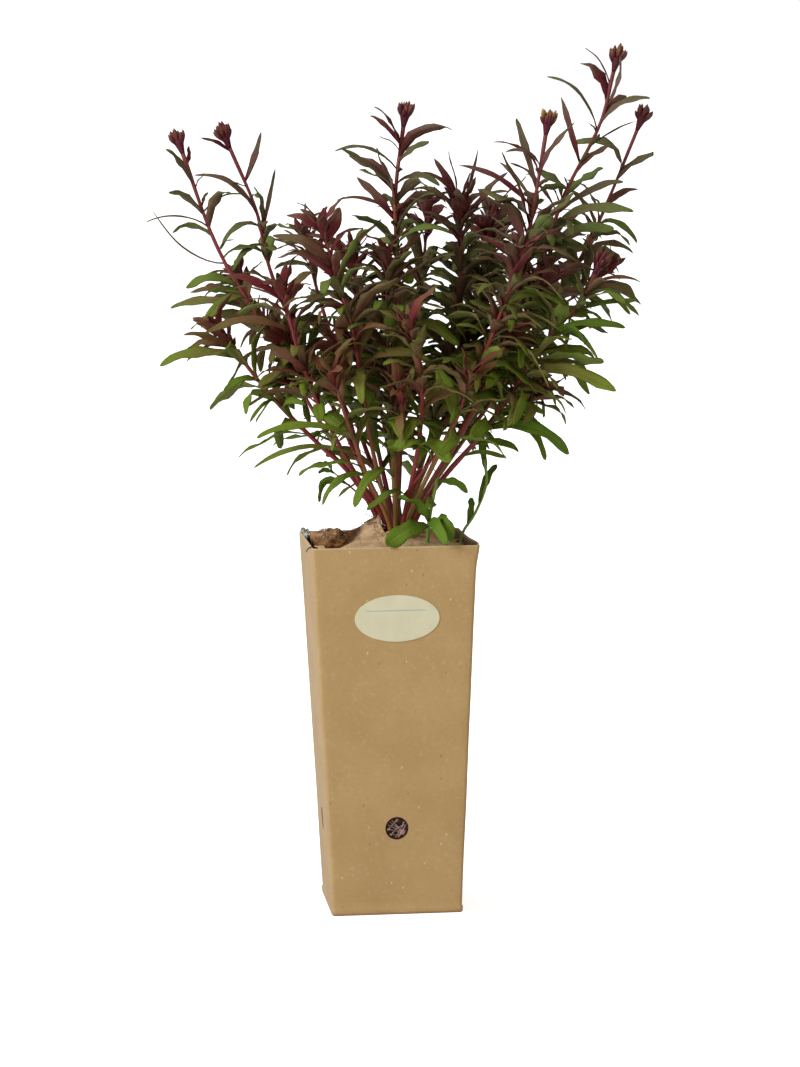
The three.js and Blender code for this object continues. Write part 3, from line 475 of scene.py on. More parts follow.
def stem_finish():
    """A stem: crimson and wine red, tan and woody at its foot, streaked lengthwise."""
    finish = Finish("gaura_stem", specular_ior_level=0.2)
    tint = finish.node("ShaderNodeAttribute", {"attribute_name": "tint"})
    along, light, wood = finish.axes(tint)
    streak = finish.noise(finish.place(), 260, 3, 0.6)
    color = finish.mix(light, tone(120, 54, 32), tone(126, 38, 38))
    color = finish.mix(along.above(0.6, 1) * 0.5, color, tone(96, 46, 46))
    color = finish.mix(wood, color, tone(148, 112, 50))
    color = finish.mix(0 - wood, color, tone(112, 134, 46))
    color = finish.mix(streak.above(0.5, 0.75) * 0.3, color, tone(140, 96, 62))
    finish.relief(streak, 0.0002)
    return finish.paint(color, 0.5)


def bud_finish():
    """A bud: wine red at its foot, red-brown above, and golden at its tip where it is ripe."""
    finish = Finish("gaura_bud", specular_ior_level=0.2)
    tint = finish.node("ShaderNodeAttribute", {"attribute_name": "tint"})
    along, light, gold = finish.axes(tint)
    grain = finish.noise(finish.place((1, 1, 0.3)), 800, 2)
    color = finish.mix(along.above(0.2, 0.8), tone(76, 20, 28), tone(84, 32, 28))
    golden = (along + 0.3 * light - 0.15).above(0.62, 1) * (0.1 + 0.75 * gold)
    color = finish.mix(golden, color, tone(150, 112, 44))
    color = finish.mix(grain.above(0.5, 0.8) * 0.25, color, tone(140, 74, 52))
    finish.relief(grain, 0.00015)
    return finish.paint(color, 0.45)


LEAF = leaf_finish()
STALK = stem_finish()
BUD = bud_finish()
print("finishes:", len(bpy.data.materials))

# %% [markdown]
# ## The plant's stems
#
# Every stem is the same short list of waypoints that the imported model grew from: its foot, the points above
# it, and the blades that stand out at the plant's edge, each as [height on the stem, tip, width, arch]. The
# plant has a frame of its own, turned a little against the pot. Stems could also be drawn anew as curve
# objects, but with the same list and the same seeded rule, each finer leaf here lies where its packed one
# does.

# %% Stems, as [x, y, z] in millimetres
STEMS = [
    dict(
        name="stem_left_tall", foot=[-1, -1.5], tip="buds", leaves=[7, 0.44, 0.74], shoots=1,
        path=[[-1, -3.5, 213], [-12, -8, 241], [-22, -12, 276], [-36, -8, 293], [-59, 0, 312],
          [-79, 8, 341], [-94, 10, 371], [-109, 12, 415]],
        blades=[[395, [-116, 6, 418], 4.2, 0.05], [406, [-105, 18, 419], 2.4, 0.05],
          [382, [-76, 20, 392], 1.8, 0.3], [373, [-129, 0, 381], 1.8, 0.12],
          [354, [-128, 14, 379], 1.8, -0.14],
          [340, [-108, 0, 344], 5.4, 0.25], [334, [-100, -6, 322], 5, 0.3], [327, [-117, 2, 334], 5, 0.12]],
    ),
    dict(
        name="stem_left_second", foot=[-0.5, 4], tip="buds", leaves=[8, 0.4, 0.8], shoots=1,
        path=[[-1, 6, 213], [-15, 12, 245], [-30, 25, 276], [-49, 35, 314], [-63, 35, 350],
          [-70, 30, 383], [-84, 25, 418]],
        blades=[[372, [-91, 26, 363], 3.4, 0.5], [362, [-84, 30, 350], 3.6, 0.4],
          [370, [-68, 40, 396], 4.8, 0.05], [368, [-59, 40, 405], 2.2, 0.05],
          [378, [-100, 24, 407], 3.8, 0.16], [414, [-98, 20, 424], 2.6, 0.05],
          [398, [-66, 32, 425], 3.4, -0.05]],
    ),
    dict(
        name="stem_left_red", foot=[1.5, -11.5], tip="rosette", leaves=[9, 0.35, 0.92], shoots=1,
        path=[[1.5, -14, 213], [-8, -22, 259], [-16, -35, 316], [-24, -35, 344], [-32, -30, 373]],
        blades=[[370, [-49, -34, 384], 6, 0.05], [372, [-44, -26, 386], 4, 0.05],
          [369, [-24, -36, 392], 5, 0.05], [366, [-22, -22, 386], 7, 0.05],
          [352, [-55, -40, 375], 7.5, 0.05]],
    ),
    dict(
        name="stem_left_outer", foot=[-0.5, -7], tip="rosette", leaves=[9, 0.44, 0.92], shoots=1,
        path=[[-1, -10.5, 213], [-18, -20, 243], [-34, -30, 276], [-46, -34, 308], [-54, -32, 340]],
        blades=[[335, [-86, -30, 350], 5, 0.2], [318, [-98, -36, 322], 5, 0.18]],
    ),
    dict(
        name="stem_left_back", foot=[3.5, 10], tip="rosette", leaves=[9, 0.3, 0.9], shoots=0,
        path=[[3, 11.5, 213], [-13, 30, 255], [-26, 52, 298], [-38, 66, 338], [-44, 70, 366]],
        blades=[],
    ),
    dict(
        name="stem_left_far", foot=[0.5, 10], tip="rosette", leaves=[8, 0.42, 0.92], shoots=0,
        path=[[-1, 11.5, 213], [-24, 26, 245], [-47, 42, 282], [-66, 54, 316], [-80, 58, 344]],
        blades=[[330, [-108, 50, 338], 5, 0.2]],
    ),
    dict(
        name="stem_purple", foot=[4.5, 4], tip="rosette", leaves=[9, 0.3, 0.9], shoots=1,
        path=[[3.5, 8, 213], [-6, 27, 259], [-12, 42, 311], [-17, 45, 355]],
        blades=[[350, [-40, 40, 372], 4.5, 0.1], [348, [-6, 36, 378], 5, 0.05]],
    ),
    dict(
        name="stem_front", foot=[5, -11.5], tip="rosette", leaves=[10, 0.35, 0.93], shoots=1,
        path=[[5, -14, 213], [3.5, -19, 264], [2, -26, 317], [2, -23, 357]],
        blades=[],
    ),
    dict(
        name="stem_mid_tall", foot=[5, -2.5], tip="buds", leaves=[9, 0.35, 0.78], shoots=0,
        path=[[6, -1, 213], [6, 5, 267], [9, 5, 316], [7, 0, 377], [8, 0, 400], [12, 0, 428]],
        blades=[[404, [-25, -8, 418], 2, 0.25], [395, [-21, -16, 417], 3.8, 0.05],
          [384, [-2, -20, 417], 7.2, 0.05], [376, [-14, 10, 401], 4.8, 0.1], [380, [-25, 12, 392], 2, 0.1],
          [410, [1, -8, 440], 4.8, 0.1],
          [417, [-6, 6, 435], 2.8, 0.15], [408, [24, -4, 421], 3.6, 0.02], [396, [31, -12, 398], 3.6, 0.3]],
    ),
    dict(
        name="stem_mid_second", foot=[8.5, 0], tip="rosette", leaves=[10, 0.35, 0.88], shoots=1,
        path=[[9.5, 2.5, 213], [22, 14, 249], [33, 20, 287], [42, 20, 336], [43, 15, 384]],
        blades=[[382, [16, 8, 404], 2.8, 0.3], [380, [37, 8, 414], 3.8, 0.02],
          [381, [29, 22, 411], 4.4, 0.06],
          [378, [53, 22, 414], 2, -0.05], [372, [67, 4, 403], 5.2, 0.05], [366, [20, 4, 398], 4, 0.3]],
    ),
    dict(
        name="stem_back_red", foot=[9, 6], tip="buds", leaves=[10, 0.35, 0.92], shoots=1,
        path=[[10.5, 9, 213], [28, 32, 252], [48, 48, 300], [57, 50, 338], [58, 48, 366]],
        blades=[],
    ),
    dict(
        name="stem_big_bud", foot=[10, -6.5], tip="buds", leaves=[10, 0.35, 0.84], shoots=1,
        path=[[12.5, -7, 213], [42, -10, 262], [64, -15, 306], [75, -12, 350], [83, -10, 389],
          [89, -8, 423]],
        blades=[[382, [42, -4, 408], 3.2, 0.18], [384, [64, 0, 409], 2, 0.12],
          [372, [66, -22, 414], 4.2, 0.08],
          [404, [68, -16, 416], 2.2, 0.25], [392, [73, 0, 432], 3.8, 0.1], [398, [101, -16, 430], 4, 0.02],
          [360, [104, -22, 392], 5, 0.1]],
    ),
    dict(
        name="stem_right_tall", foot=[12, -1], tip="buds", leaves=[10, 0.38, 0.72], shoots=0,
        path=[[14, 1, 213], [33, 8, 246], [61, 14, 297], [86, 15, 352], [100, 12, 390], [119, 10, 427],
          [127, 8, 457]],
        blades=[[405, [98, 20, 444], 3.4, 0.05], [424, [94, 4, 457], 2.2, 0.2],
          [447, [114, 4, 470], 1.8, 0.1],
          [426, [145, 2, 444], 3.8, 0.2], [415, [139, 18, 430], 1.8, 0.05], [400, [125, 0, 417], 4.4, 0.15],
          [436, [133, 2, 464], 3.8, -0.05], [378, [131, 0, 397], 4.4, 0.18],
          [370, [134, -4, 385], 6.6, 0.12],
          [362, [124, -10, 373], 6.4, 0.12]],
    ),
    dict(
        name="stem_right_second", foot=[12.5, 4.5], tip="buds", leaves=[9, 0.38, 0.78], shoots=1,
        path=[[14, 9, 213], [35, 22, 243], [68, 34, 288], [97, 38, 333], [115, 37, 364], [127, 32, 391],
          [141, 28, 425]],
        blades=[[394, [150, 24, 414], 4.2, 0.05], [378, [138, 28, 394], 4.8, 0.1],
          [370, [141, 26, 364], 3.4, 0.4], [352, [139, 32, 358], 3.8, 0.4]],
    ),
    dict(
        name="stem_right_red", foot=[13.5, -6.5], tip="buds", leaves=[8, 0.42, 0.84], shoots=1,
        path=[[15.5, -10.5, 213], [31, -16, 237], [50, -23, 259], [67, -28, 282], [90, -32, 315],
          [107, -32, 334],
          [114, -30, 348]],
        blades=[[340, [138, -38, 344], 2.2, 0.3], [334, [133, -20, 340], 4.4, 0.2],
          [328, [136, -38, 335], 3.2, 0.05], [316, [128, -44, 323], 4.8, 0.08],
          [318, [114, -42, 304], 2.4, 0.4], [295, [124, -48, 286], 7.8, 0.22],
          [300, [113, -18, 283], 5.6, 0.3], [284, [88, -36, 285], 3.8, 0.3],
          [270, [86, -36, 275], 4.4, 0.3],
          [274, [88, -22, 247], 5.6, 0.45], [262, [101, -34, 255], 7.2, 0.25],
          [255, [74, -12, 252], 4.2, 0.2],
          [248, [64, -36, 251], 2.8, 0.15]],
    ),
    dict(
        name="stem_front_rosette", foot=[6.5, -16.5], tip="rosette", leaves=[8, 0.3, 0.9], shoots=1,
        path=[[9, -19.5, 213], [18, -38, 258], [20, -54, 291], [14, -62, 322]],
        blades=[],
        fork=[[10, -24, 229], [24, -38, 248], [38, -50, 270], [45, -58, 294]],
    ),
    dict(
        name="stem_front_left", foot=[3, -16], tip="rosette", leaves=[6, 0.5, 0.95], shoots=0,
        path=[[1.5, -19.5, 213], [-10, -28, 240], [-19, -42, 267], [-27, -50, 294]],
        blades=[[238, [-37, -32, 227], 4.2, 0.4], [262, [-69, -52, 265], 4.6, 0.22], [250,
          [-73, -34, 251], 3, 0.15]],
    ),
    dict(
        name="stem_low_left", foot=[-3.5, -6], tip="rosette", leaves=[7, 0.5, 0.95], shoots=0,
        path=[[-4.5, -7, 213], [-20, -9, 240], [-38, -14, 258], [-58, -16, 279], [-72, -14, 296],
          [-88, -12, 318]],
        blades=[[302, [-122, -20, 305], 6.4, 0.12], [290, [-87, -26, 288], 3.8, 0.3],
          [280, [-73, -26, 271], 2, 0.3], [306, [-108, -24, 318], 4.4, 0.2]],
    ),
    dict(
        name="stem_right_rosette", foot=[9, -11.5], tip="rosette", leaves=[9, 0.4, 0.92], shoots=1,
        path=[[11, -15, 213], [34, -28, 262], [54, -40, 306], [68, -46, 342], [72, -46, 358]],
        blades=[],
    ),
    dict(
        name="stem_back_middle", foot=[6.5, 11], tip="rosette", leaves=[10, 0.35, 0.92], shoots=0,
        path=[[6.5, 14, 213], [9, 34, 256], [16, 52, 302], [22, 62, 346], [25, 64, 380]],
        blades=[],
    ),
    dict(
        name="stem_back_right", foot=[9.5, 11.5], tip="rosette", leaves=[10, 0.35, 0.92], shoots=0,
        path=[[10.5, 14, 213], [24, 38, 252], [40, 60, 298], [54, 70, 342], [62, 70, 378]],
        blades=[],
    ),
    dict(
        name="stem_back_far", foot=[13, 10], tip="rosette", leaves=[10, 0.38, 0.92], shoots=1,
        path=[[14, 12.5, 213], [36, 32, 247], [63, 50, 288], [84, 58, 328], [96, 58, 366]],
        blades=[],
    ),
    dict(
        name="stem_back_low", foot=[7.5, 16.5], tip="rosette", leaves=[7, 0.3, 0.9], shoots=0,
        path=[[7.5, 19.5, 213], [2, 42, 244], [-4, 68, 276], [-10, 84, 304]],
        blades=[],
    ),
]

SHOOTS_FROM_SOIL = [
    dict(
        name="shoot_basal", foot=[22, -24], radius=1.1, tip="none", leaves=[0, 0, 0], shoots=0, low=True,
        path=[[23, -25, 213], [28, -23, 238]],
        blades=[[213, [5, -24, 229], 9, 0.1], [212, [1, -49, 206], 10, 0.12],
          [214, [31, -51, 206], 7.5, 0.3],
          [235, [45, -26, 231], 4.4, 0.3], [222, [24, -44, 226], 6, 0.2]],
    ),
    dict(
        name="shoot_corner", foot=[39.5, 6], radius=0.8, tip="none", leaves=[0, 0, 0], shoots=0, low=True,
        path=[[41.5, 5, 204], [49, 4, 216], [55, 1, 232], [54, -2, 246]],
        blades=[[209, [48, 10, 224], 3.8, 0.1], [220, [59, -3, 243], 4.4, 0.05],
          [238, [52, -4, 258], 3.8, 0.1]],
    ),
]
print("stems:", len(STEMS), "shoots from the soil:", len(SHOOTS_FROM_SOIL))

# %% [markdown]
# ## The plant's sizes
#
# The rule that grows the plant reads all its sizes from a few tables: the radius of the stems, the length,
# width and spread of the leaves, the room that they keep, and the seeds of the draws. They could stand
# where they are used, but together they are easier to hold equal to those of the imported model.

# %% Driving dimensions of the plant
UP = np.array([0.0, 0.0, 1.0])
DEPTH = np.array([0.0, 1.0, 0.0])
PLANT_TURN = math.radians(-5.6)
FOOT_DEPTH = 190
GAP = 0.3
STEM = dict(radius=1.5, tip_radius=0.85)
SHOOT = dict(
    radius=1, tip_radius=0.6, leaves=(3, 0.4, 1), share=(0.42, 0.55), length=(26, 42), opening=0.7,
    arch=-0.25,
)
FORK_LEAVES = (6, 0.3, 0.9)
GOLDEN_ANGLE = math.radians(137.5)
SEEDS = dict(plant=1, further=500, roots=60, fibres=77, clump=78, moss=88, blades=900, small=1300, buds=1700)
LEAF_SHAPE = dict(sunk=0.35, camber=0.1, rise=0.9, fall=0.7)
MARGIN_WAVE = dict(size=0.13, turns=2.3)
BLADE_WAVE = dict(size=0.16, turns=1.7)
CLEARANCE = 2.7
OWN_CLEARANCE = 1.3
LOWEST_LEAF = 222
HAND_ROLL = math.radians(55)
LOOK = dict(
    length=(42, 31), width=(7.6, 6.4), opening=(50, 30), arch=(34, 14), droop=(0.22, 0.02),
    length_draw=(0.75, 1.25), width_draw=(0.75, 1.3), opening_draw=(0.8, 1.2), arch_draw=(0.4, 1.5),
    droop_draw=(0.3, 1.6), roll_draw=(-0.7, 0.7), turn_draw=(-0.4, 0.4),
)
ROSETTE = dict(
    leaves=5, step=0.014, length=(18, 31), width=(4.4, 7), opening=44, closing=6, arch=(4, 22),
    roll_draw=(-0.5, 0.5), turn_draw=(-0.3, 0.3),
)
TURN_TRIES = [math.radians(angle) for angle in (0, 22, -22, 45, -45, 70, -70)]
SHOOT_TURN_TRIES = [math.radians(angle) for angle in (0, 40, -40, 80, -80, 125, -125)]
SHIFT_TRIES = [0, 7, -7, 14, -14, 21, -21]
LENGTH_TRIES = [1, 0.72]
RULE_SLIMNESS = 0.95

# %% [markdown]
# ## Curves and seeded draws
#
# A stem is a smooth spline through its waypoints, and a leaf a quadratic curve from its base to its tip.
# Curve objects could hold them, but the rule asks for thousands of points before there is any mesh, and
# short functions answer at once. The draws come from one small generator and not from Python's own, because
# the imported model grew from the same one.

# %% Curves
def drawer(seed):
    """Seeded draws: each call gives the next number between low and high."""
    modulus = 2147483647
    state = seed * 7919 + 104729

    def draw(low, high):
        nonlocal state
        state = (state * 16807) % modulus
        return low + ((high - low) * state) / modulus

    return draw


def lerp(first, second, share):
    return (1 - share) * first + share * second


def smooth(value, low, high):
    """0 below low, 1 above high, and smooth between them."""
    share = min(max((value - low) / (high - low), 0), 1)
    return share * share * (3 - 2 * share)


def cross(a, b):
    return np.array([a[1] * b[2] - a[2] * b[1], a[2] * b[0] - a[0] * b[2], a[0] * b[1] - a[1] * b[0]])


def size_of(vector):
    return math.sqrt(vector[0] * vector[0] + vector[1] * vector[1] + vector[2] * vector[2])


def unit(vector):
    return vector / (size_of(vector) or 1)


def turned(vector, axis, angle):
    """A vector turned about a unit axis."""
    along = axis * (axis @ vector) * (1 - math.cos(angle))
    return vector * math.cos(angle) + cross(axis, vector) * math.sin(angle) + along


class Curve:
    """What every curve can do once it has point(share)."""

    def tangent(self, share):
        return unit(self.point(min(share + 0.0001, 1)) - self.point(max(share - 0.0001, 0)))

    def length(self):
        points = [self.point(i / 200) for i in range(201)]
        return sum(size_of(b - a) for a, b in zip(points, points[1:]))

    def points(self, start, spacing):
        """Points about as far apart as spacing, from a share of the curve to its end."""
        count = math.ceil(self.length() * (1 - start) / spacing)
        return [self.point(start + ((1 - start) * i) / count) for i in range(count + 1)]


class Arc(Curve):
    """A quadratic curve: where it starts, the point that bends it, and where it ends."""

    def __init__(self, base, bend, tip):
        self.base = base
        self.bend = bend
        self.tip = tip

    def point(self, share):
        rest = 1 - share
        return rest * rest * self.base + 2 * rest * share * self.bend + share * share * self.tip


class Spline(Curve):
    """A smooth curve through waypoints, with even time between them and reflected ends."""

    def __init__(self, waypoints):
        self.waypoints = waypoints

    def point(self, share):
        points = self.waypoints
        last = len(points) - 1
        index = min(int(math.floor(last * share)), last - 1)
        weight = last * share - index
        first, second = points[index], points[index + 1]
        before = points[index - 1] if index > 0 else 2 * first - second
        after = points[index + 2] if index + 2 <= last else 2 * second - first
        start, end = 0.5 * (second - before), 0.5 * (after - first)
        square = -3 * first + 3 * second - 2 * start - end
        cube = 2 * first - 2 * second + start + end
        return first + start * weight + square * weight**2 + cube * weight**3


def plant_point(point):
    return turned(np.array([float(c) for c in point]), UP, PLANT_TURN)


def stem_curve(stem):
    return Spline([plant_point([*stem["foot"], FOOT_DEPTH])] + [plant_point(p) for p in stem["path"]])


print("longest stem:", round(max(stem_curve(s).length() for s in STEMS)), "mm")

# %% [markdown]
# ## Leaves that keep out of each other's way
#
# Geometry Nodes could scatter leaves on the stems in one step, but scattered leaves run through each other.
# Here a leaf finds its place in the same way as on a real plant: it turns towards free space. Room keeps
# the points that are taken in a grid of cells, so that a new leaf only looks at its neighbours.

# %% Leaves
PLAIN_CURL = 0.06
SPOT_ROWS = ((1.6, (0,)), (3.4, (-0.6, 0.6)), (math.inf, (-0.8, -0.27, 0.27, 0.8)))


class Leaf:
    """A blade along an arc, with its width, the phase of its waves, its roll, and how green it is."""

    def __init__(self, base, bend, tip, width, phase, roll, green=None):
        self.curve = Arc(base, bend, tip)
        self.width = width
        self.phase = phase
        self.green = green
        self.curl = PLAIN_CURL
        self.slimness = 1
        along = tip - base
        self.length = size_of(along)
        side = cross(bend - base, along)
        if size_of(side) < 0.01 * self.length**2:
            side = cross(UP, along)
        self.side = turned(unit(side), unit(along), roll)

    def half_width(self, share):
        """Half the width at a share of the length, with its waved margin."""
        wave = MARGIN_WAVE["size"] * math.sin(FULL_TURN * (MARGIN_WAVE["turns"] * share + self.phase))
        return 0.5 * self.width * leaf_taper(share) / WIDEST_TAPER * (1 + wave)

    def spots(self):
        """Points spread over the blade that stand for it when leaves are kept apart."""
        rows = max(4, math.ceil(self.length / 3))
        found = []
        for row in range(rows + 1):
            share = lerp(0.2, 1, row / rows)
            half = self.half_width(share)
            places = next(row for widest, row in SPOT_ROWS if half < widest)
            middle = self.curve.point(share)
            found += [middle + place * half * self.side for place in places]
        return found


def leaf_taper(share):
    """0 at both ends and 1 where the leaf is widest, a little past its middle."""
    return share ** LEAF_SHAPE["rise"] * (1 - share) ** LEAF_SHAPE["fall"]


WIDEST_TAPER = leaf_taper(LEAF_SHAPE["rise"] / (LEAF_SHAPE["rise"] + LEAF_SHAPE["fall"]))


class Room:
    """The points that are taken, in cells, each with its owner."""

    def __init__(self, between, own):
        self.cells = defaultdict(list)
        self.between = between
        self.own = own

    def cell(self, point):
        return tuple(math.floor(c / CLEARANCE) for c in point)

    def take(self, owner, points):
        for point in points:
            self.cells[self.cell(point)].append((owner, tuple(point)))

    def is_free(self, owner, points):
        return all(self.is_clear(owner, point) for point in points)

    def is_clear(self, owner, point):
        i, j, k = self.cell(point)
        near = [(a, b, c) for a in (i - 1, i, i + 1) for b in (j - 1, j, j + 1) for c in (k - 1, k, k + 1)]
        for key in near:
            for other, taken in self.cells.get(key, ()):
                if math.dist(taken, point) <= (self.own if other == owner else self.between):
                    return False
        return True

    def first_free(self, owner, tries, lowest=LOWEST_LEAF):
        """The first leaf that has room, which it then takes."""
        for leaf in tries:
            spots = leaf.spots()
            if min(spot[2] for spot in spots) >= lowest and self.is_free(owner, spots):
                self.take(owner, spots)
                return leaf
        return None

# %% [markdown]
# ## Listed leaves and leaves by rule
#
# The blades at the plant's edge make its outline, so each of them is listed one by one. For the hundreds
# of others that takes too long, and the exact place of one hardly shows. They grow by a rule: each turns by
# the golden angle from the one before, as on many real stems, and they get shorter and more upright towards
# the tip. A leaf that finds no room tries other turns, and then a shorter length.

# %% Listed leaves and leaves by rule
def hand_leaf(curve, blade, phase, shift):
    """A blade that the list gives: it grows out at a height and turns its face forwards."""
    height, tip, width, arch = blade
    share = 0
    while share < 1 and curve.point(share)[2] < height:
        share += 0.005
    axis = curve.point(min(share, 1))
    end = plant_point([tip[0], tip[1] + shift, tip[2]])
    reach = end - axis
    base = axis - LEAF_SHAPE["sunk"] * unit(reach)
    bend = 0.5 * (base + end) + arch * size_of(reach) * UP
    return Leaf(base, bend, end, width, phase, -HAND_ROLL if reach[0] < 0 else HAND_ROLL)


def cross_axes(tangent):
    """Two directions square to a tangent."""
    first = unit(cross(tangent, DEPTH))
    return first, cross(first, tangent)


def rule_points(curve, share, turn, look):
    """Where a leaf by rule starts, bends and ends: it leaves steeply, and arches out and down."""
    axis = curve.point(share)
    tangent = curve.tangent(share)
    first, second = cross_axes(tangent)
    out = first * math.cos(turn) + second * math.sin(turn)
    start = tangent * math.cos(look["opening"]) + out * math.sin(look["opening"])
    final = look["opening"] + look["arch"]
    end = tangent * math.cos(final) + out * math.sin(final)
    tip = axis + look["length"] * end - look["droop"] * look["length"] * UP
    return axis - LEAF_SHAPE["sunk"] * start, axis + 0.5 * look["length"] * start, tip


def rule_leaf(curve, share, turn, look, factor=1):
    scaled = dict(look, length=factor * look["length"])
    leaf = Leaf(*rule_points(curve, share, turn, scaled), factor * look["width"], look["phase"], look["roll"])
    leaf.curl = look.get("curl", leaf.curl)
    leaf.slimness = RULE_SLIMNESS
    return leaf


def rule_tries(curve, share, turn, look):
    """A leaf by rule at each of its turns, first at its full length and then shorter."""
    for factor in LENGTH_TRIES:
        for extra in TURN_TRIES:
            yield rule_leaf(curve, share, turn + extra, look, factor)


def draw_look(share, draw):
    """The look of a leaf by its height: long and spreading low on a stem, short and upright at its tip."""
    return dict(
        length=lerp(*LOOK["length"], share) * draw(*LOOK["length_draw"]),
        width=lerp(*LOOK["width"], share) * draw(*LOOK["width_draw"]),
        opening=math.radians(lerp(*LOOK["opening"], share) * draw(*LOOK["opening_draw"])),
        arch=math.radians(lerp(*LOOK["arch"], share) * draw(*LOOK["arch_draw"])),
        droop=lerp(*LOOK["droop"], share) * draw(*LOOK["droop_draw"]),
        phase=draw(0, 1),
        roll=draw(*LOOK["roll_draw"]),
    )


def leaves_by_rule(room, owner, curve, count_from_to, draw):
    """Puts leaves on a curve where there is room, and returns those that found it."""
    count, start, end = count_from_to
    placed = []
    for k in range(count):
        share = start + ((end - start) * (k + 0.5)) / count
        look = draw_look(share, draw)
        turn = k * GOLDEN_ANGLE + draw(*LOOK["turn_draw"])
        placed.append(room.first_free(owner, rule_tries(curve, share, turn, look)))
    return [leaf for leaf in placed if leaf]


def rosette_leaves(room, owner, curve, draw):
    """The upright leaves round a tip."""
    placed = []
    for k in range(ROSETTE["leaves"]):
        share = 1 - ROSETTE["step"] * (ROSETTE["leaves"] - k)
        look = dict(
            length=draw(*ROSETTE["length"]),
            width=draw(*ROSETTE["width"]),
            opening=math.radians(ROSETTE["opening"] - ROSETTE["closing"] * k),
            arch=math.radians(draw(*ROSETTE["arch"])),
            droop=0,
            phase=draw(0, 1),
            roll=draw(*ROSETTE["roll_draw"]),
        )
        turn = k * GOLDEN_ANGLE + draw(*ROSETTE["turn_draw"])
        tries = (rule_leaf(curve, share, turn + extra, look) for extra in TURN_TRIES)
        placed.append(room.first_free(owner, tries))
    return [leaf for leaf in placed if leaf]


def side_shoot(room, owner, curve, draw):
    """A side shoot leaves the stem in a leaf's axil."""
    share = draw(*SHOOT["share"])
    look = dict(SHOOT, length=draw(*SHOOT["length"]), droop=0)
    turn = draw(0, FULL_TURN)
    for extra in SHOOT_TURN_TRIES:
        shoot = Arc(*rule_points(curve, share, turn + extra, look))
        points = shoot.points(0.2, 3)
        if min(point[2] for point in points) >= LOWEST_LEAF and room.is_free(owner, points):
            room.take(owner, points)
            return shoot
    return None

# %% [markdown]
# ## Growing
#
# What grows first takes its room first, so the order counts. The stems come before everything, and the
# listed blades before the leaves by rule, which fill what is left. Grown in another order, the outline
# would have gaps where a leaf by rule stood in a blade's way.

# %% Grow the plant
def grow_plant(room):
    """The curves take their room first, then the listed blades, then the rosettes, shoots and leaves."""
    plants = []
    for index, stem in enumerate(STEMS + SHOOTS_FROM_SOIL):
        curves = [stem_curve(stem)]
        if "fork" in stem:
            curves.append(Spline([plant_point(p) for p in stem["fork"]]))
        plants.append(dict(
            stem=stem, name=stem["name"], low=stem.get("low", False), draw=drawer(SEEDS["plant"] + index),
            curves=curves, leaves=[],
        ))
    for plant in plants:
        for curve in plant["curves"]:
            room.take(plant["name"], curve.points(0, 3))
    for plant in plants:
        low = plant["low"]
        for blade in plant["stem"]["blades"]:
            phase = plant["draw"](0, 1)
            shifts = SHIFT_TRIES[:3] if low else SHIFT_TRIES
            tries = (hand_leaf(plant["curves"][0], blade, phase, shift) for shift in shifts)
            leaf = room.first_free(plant["name"], tries, 0 if low else LOWEST_LEAF)
            plant["leaves"] += [leaf] if leaf else []
    for plant in plants:
        if plant["stem"]["tip"] == "rosette":
            for curve in plant["curves"]:
                plant["leaves"] += rosette_leaves(room, plant["name"], curve, plant["draw"])
    for plant in plants:
        name, draw, stem = plant["name"], plant["draw"], plant["stem"]
        for _ in range(stem["shoots"]):
            shoot = side_shoot(room, name, plant["curves"][0], draw)
            if shoot:
                plant["curves"].append(shoot)
                plant["leaves"] += leaves_by_rule(room, name, shoot, SHOOT["leaves"], draw)
        plant["leaves"] += leaves_by_rule(room, name, plant["curves"][0], stem["leaves"], draw)
        if "fork" in stem:
            plant["leaves"] += leaves_by_rule(room, name, plant["curves"][1], FORK_LEAVES, draw)
    return plants


room = Room(CLEARANCE, OWN_CLEARANCE)
plants = grow_plant(room)
print("leaves of the packed model:", sum(len(plant["leaves"]) for plant in plants))

# %% [markdown]
# ## Further leaves
#
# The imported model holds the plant's main leaves only, because many hundreds of short thin blades are too
# fine for solids. The real plant is denser, with short leaves in the axils of the long ones and a tight
# tuft of young red leaves at each growing tip. These come from the same rule with less room between them,
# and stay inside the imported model's box. A few broad leaves at the foot of the plant are placed one by one.

# %% Grow the further leaves
FILL = dict(
    every=2.0, shares=(0.4, 0.98), length=(0.6, 1.2), width=(0.65, 1.15), curl=(0.05, 0.5),
    between=0.9, own=0.5, inset=2.0,
)
CORE = dict(middle=(34, 5, 318), reach=(88, 66, 66), edge=(0.75, 1.15), outside=0.06)
AXIL = dict(
    every=9, shares=(0.46, 0.98), length=(7, 14), width=(1.8, 3.2), opening=(0.45, 0.95), arch=(-0.2, 0.7),
    green=(0.3, 0.8), least=0.4,
)
TUFT = dict(
    leaves=9, step=0.008, length=(8, 22), width=(2.2, 4.8), opening=(0.08, 0.6), arch=(0, 0.4),
    green=(0, 0.35),
)
SMALL_ROLL = (-0.5, 0.5)
BROAD_LEAVES = [
    ("shoot_basal", (21, -27, 213), (16, -33, 224), (4.5, -35, 231), 11),
    ("shoot_basal", (22, -27, 213), (27, -42, 221), (31, -47, 206), 9),
    ("stem_low_left", (-20, -5, 233), (-37, -6, 242), (-38.5, -7, 224.5), 5.5),
    ("stem_low_left", (-29, -5, 240), (-34, -6, 243), (-38, -7, 241), 3),
    ("stem_low_left", (-30, -5, 241), (-31, -6, 245), (-34, -6, 247), 3),
]
BROAD = dict(phase=0.3, green=1.4)
LOW_TWIG = ((-7, -5, 221), (-18, -5, 230), (-31, -5, 242))
LOW_BOX, HIGH_BOX = (np.array(corner) / MM for corner in cad_box)
MARGIN = 0.55


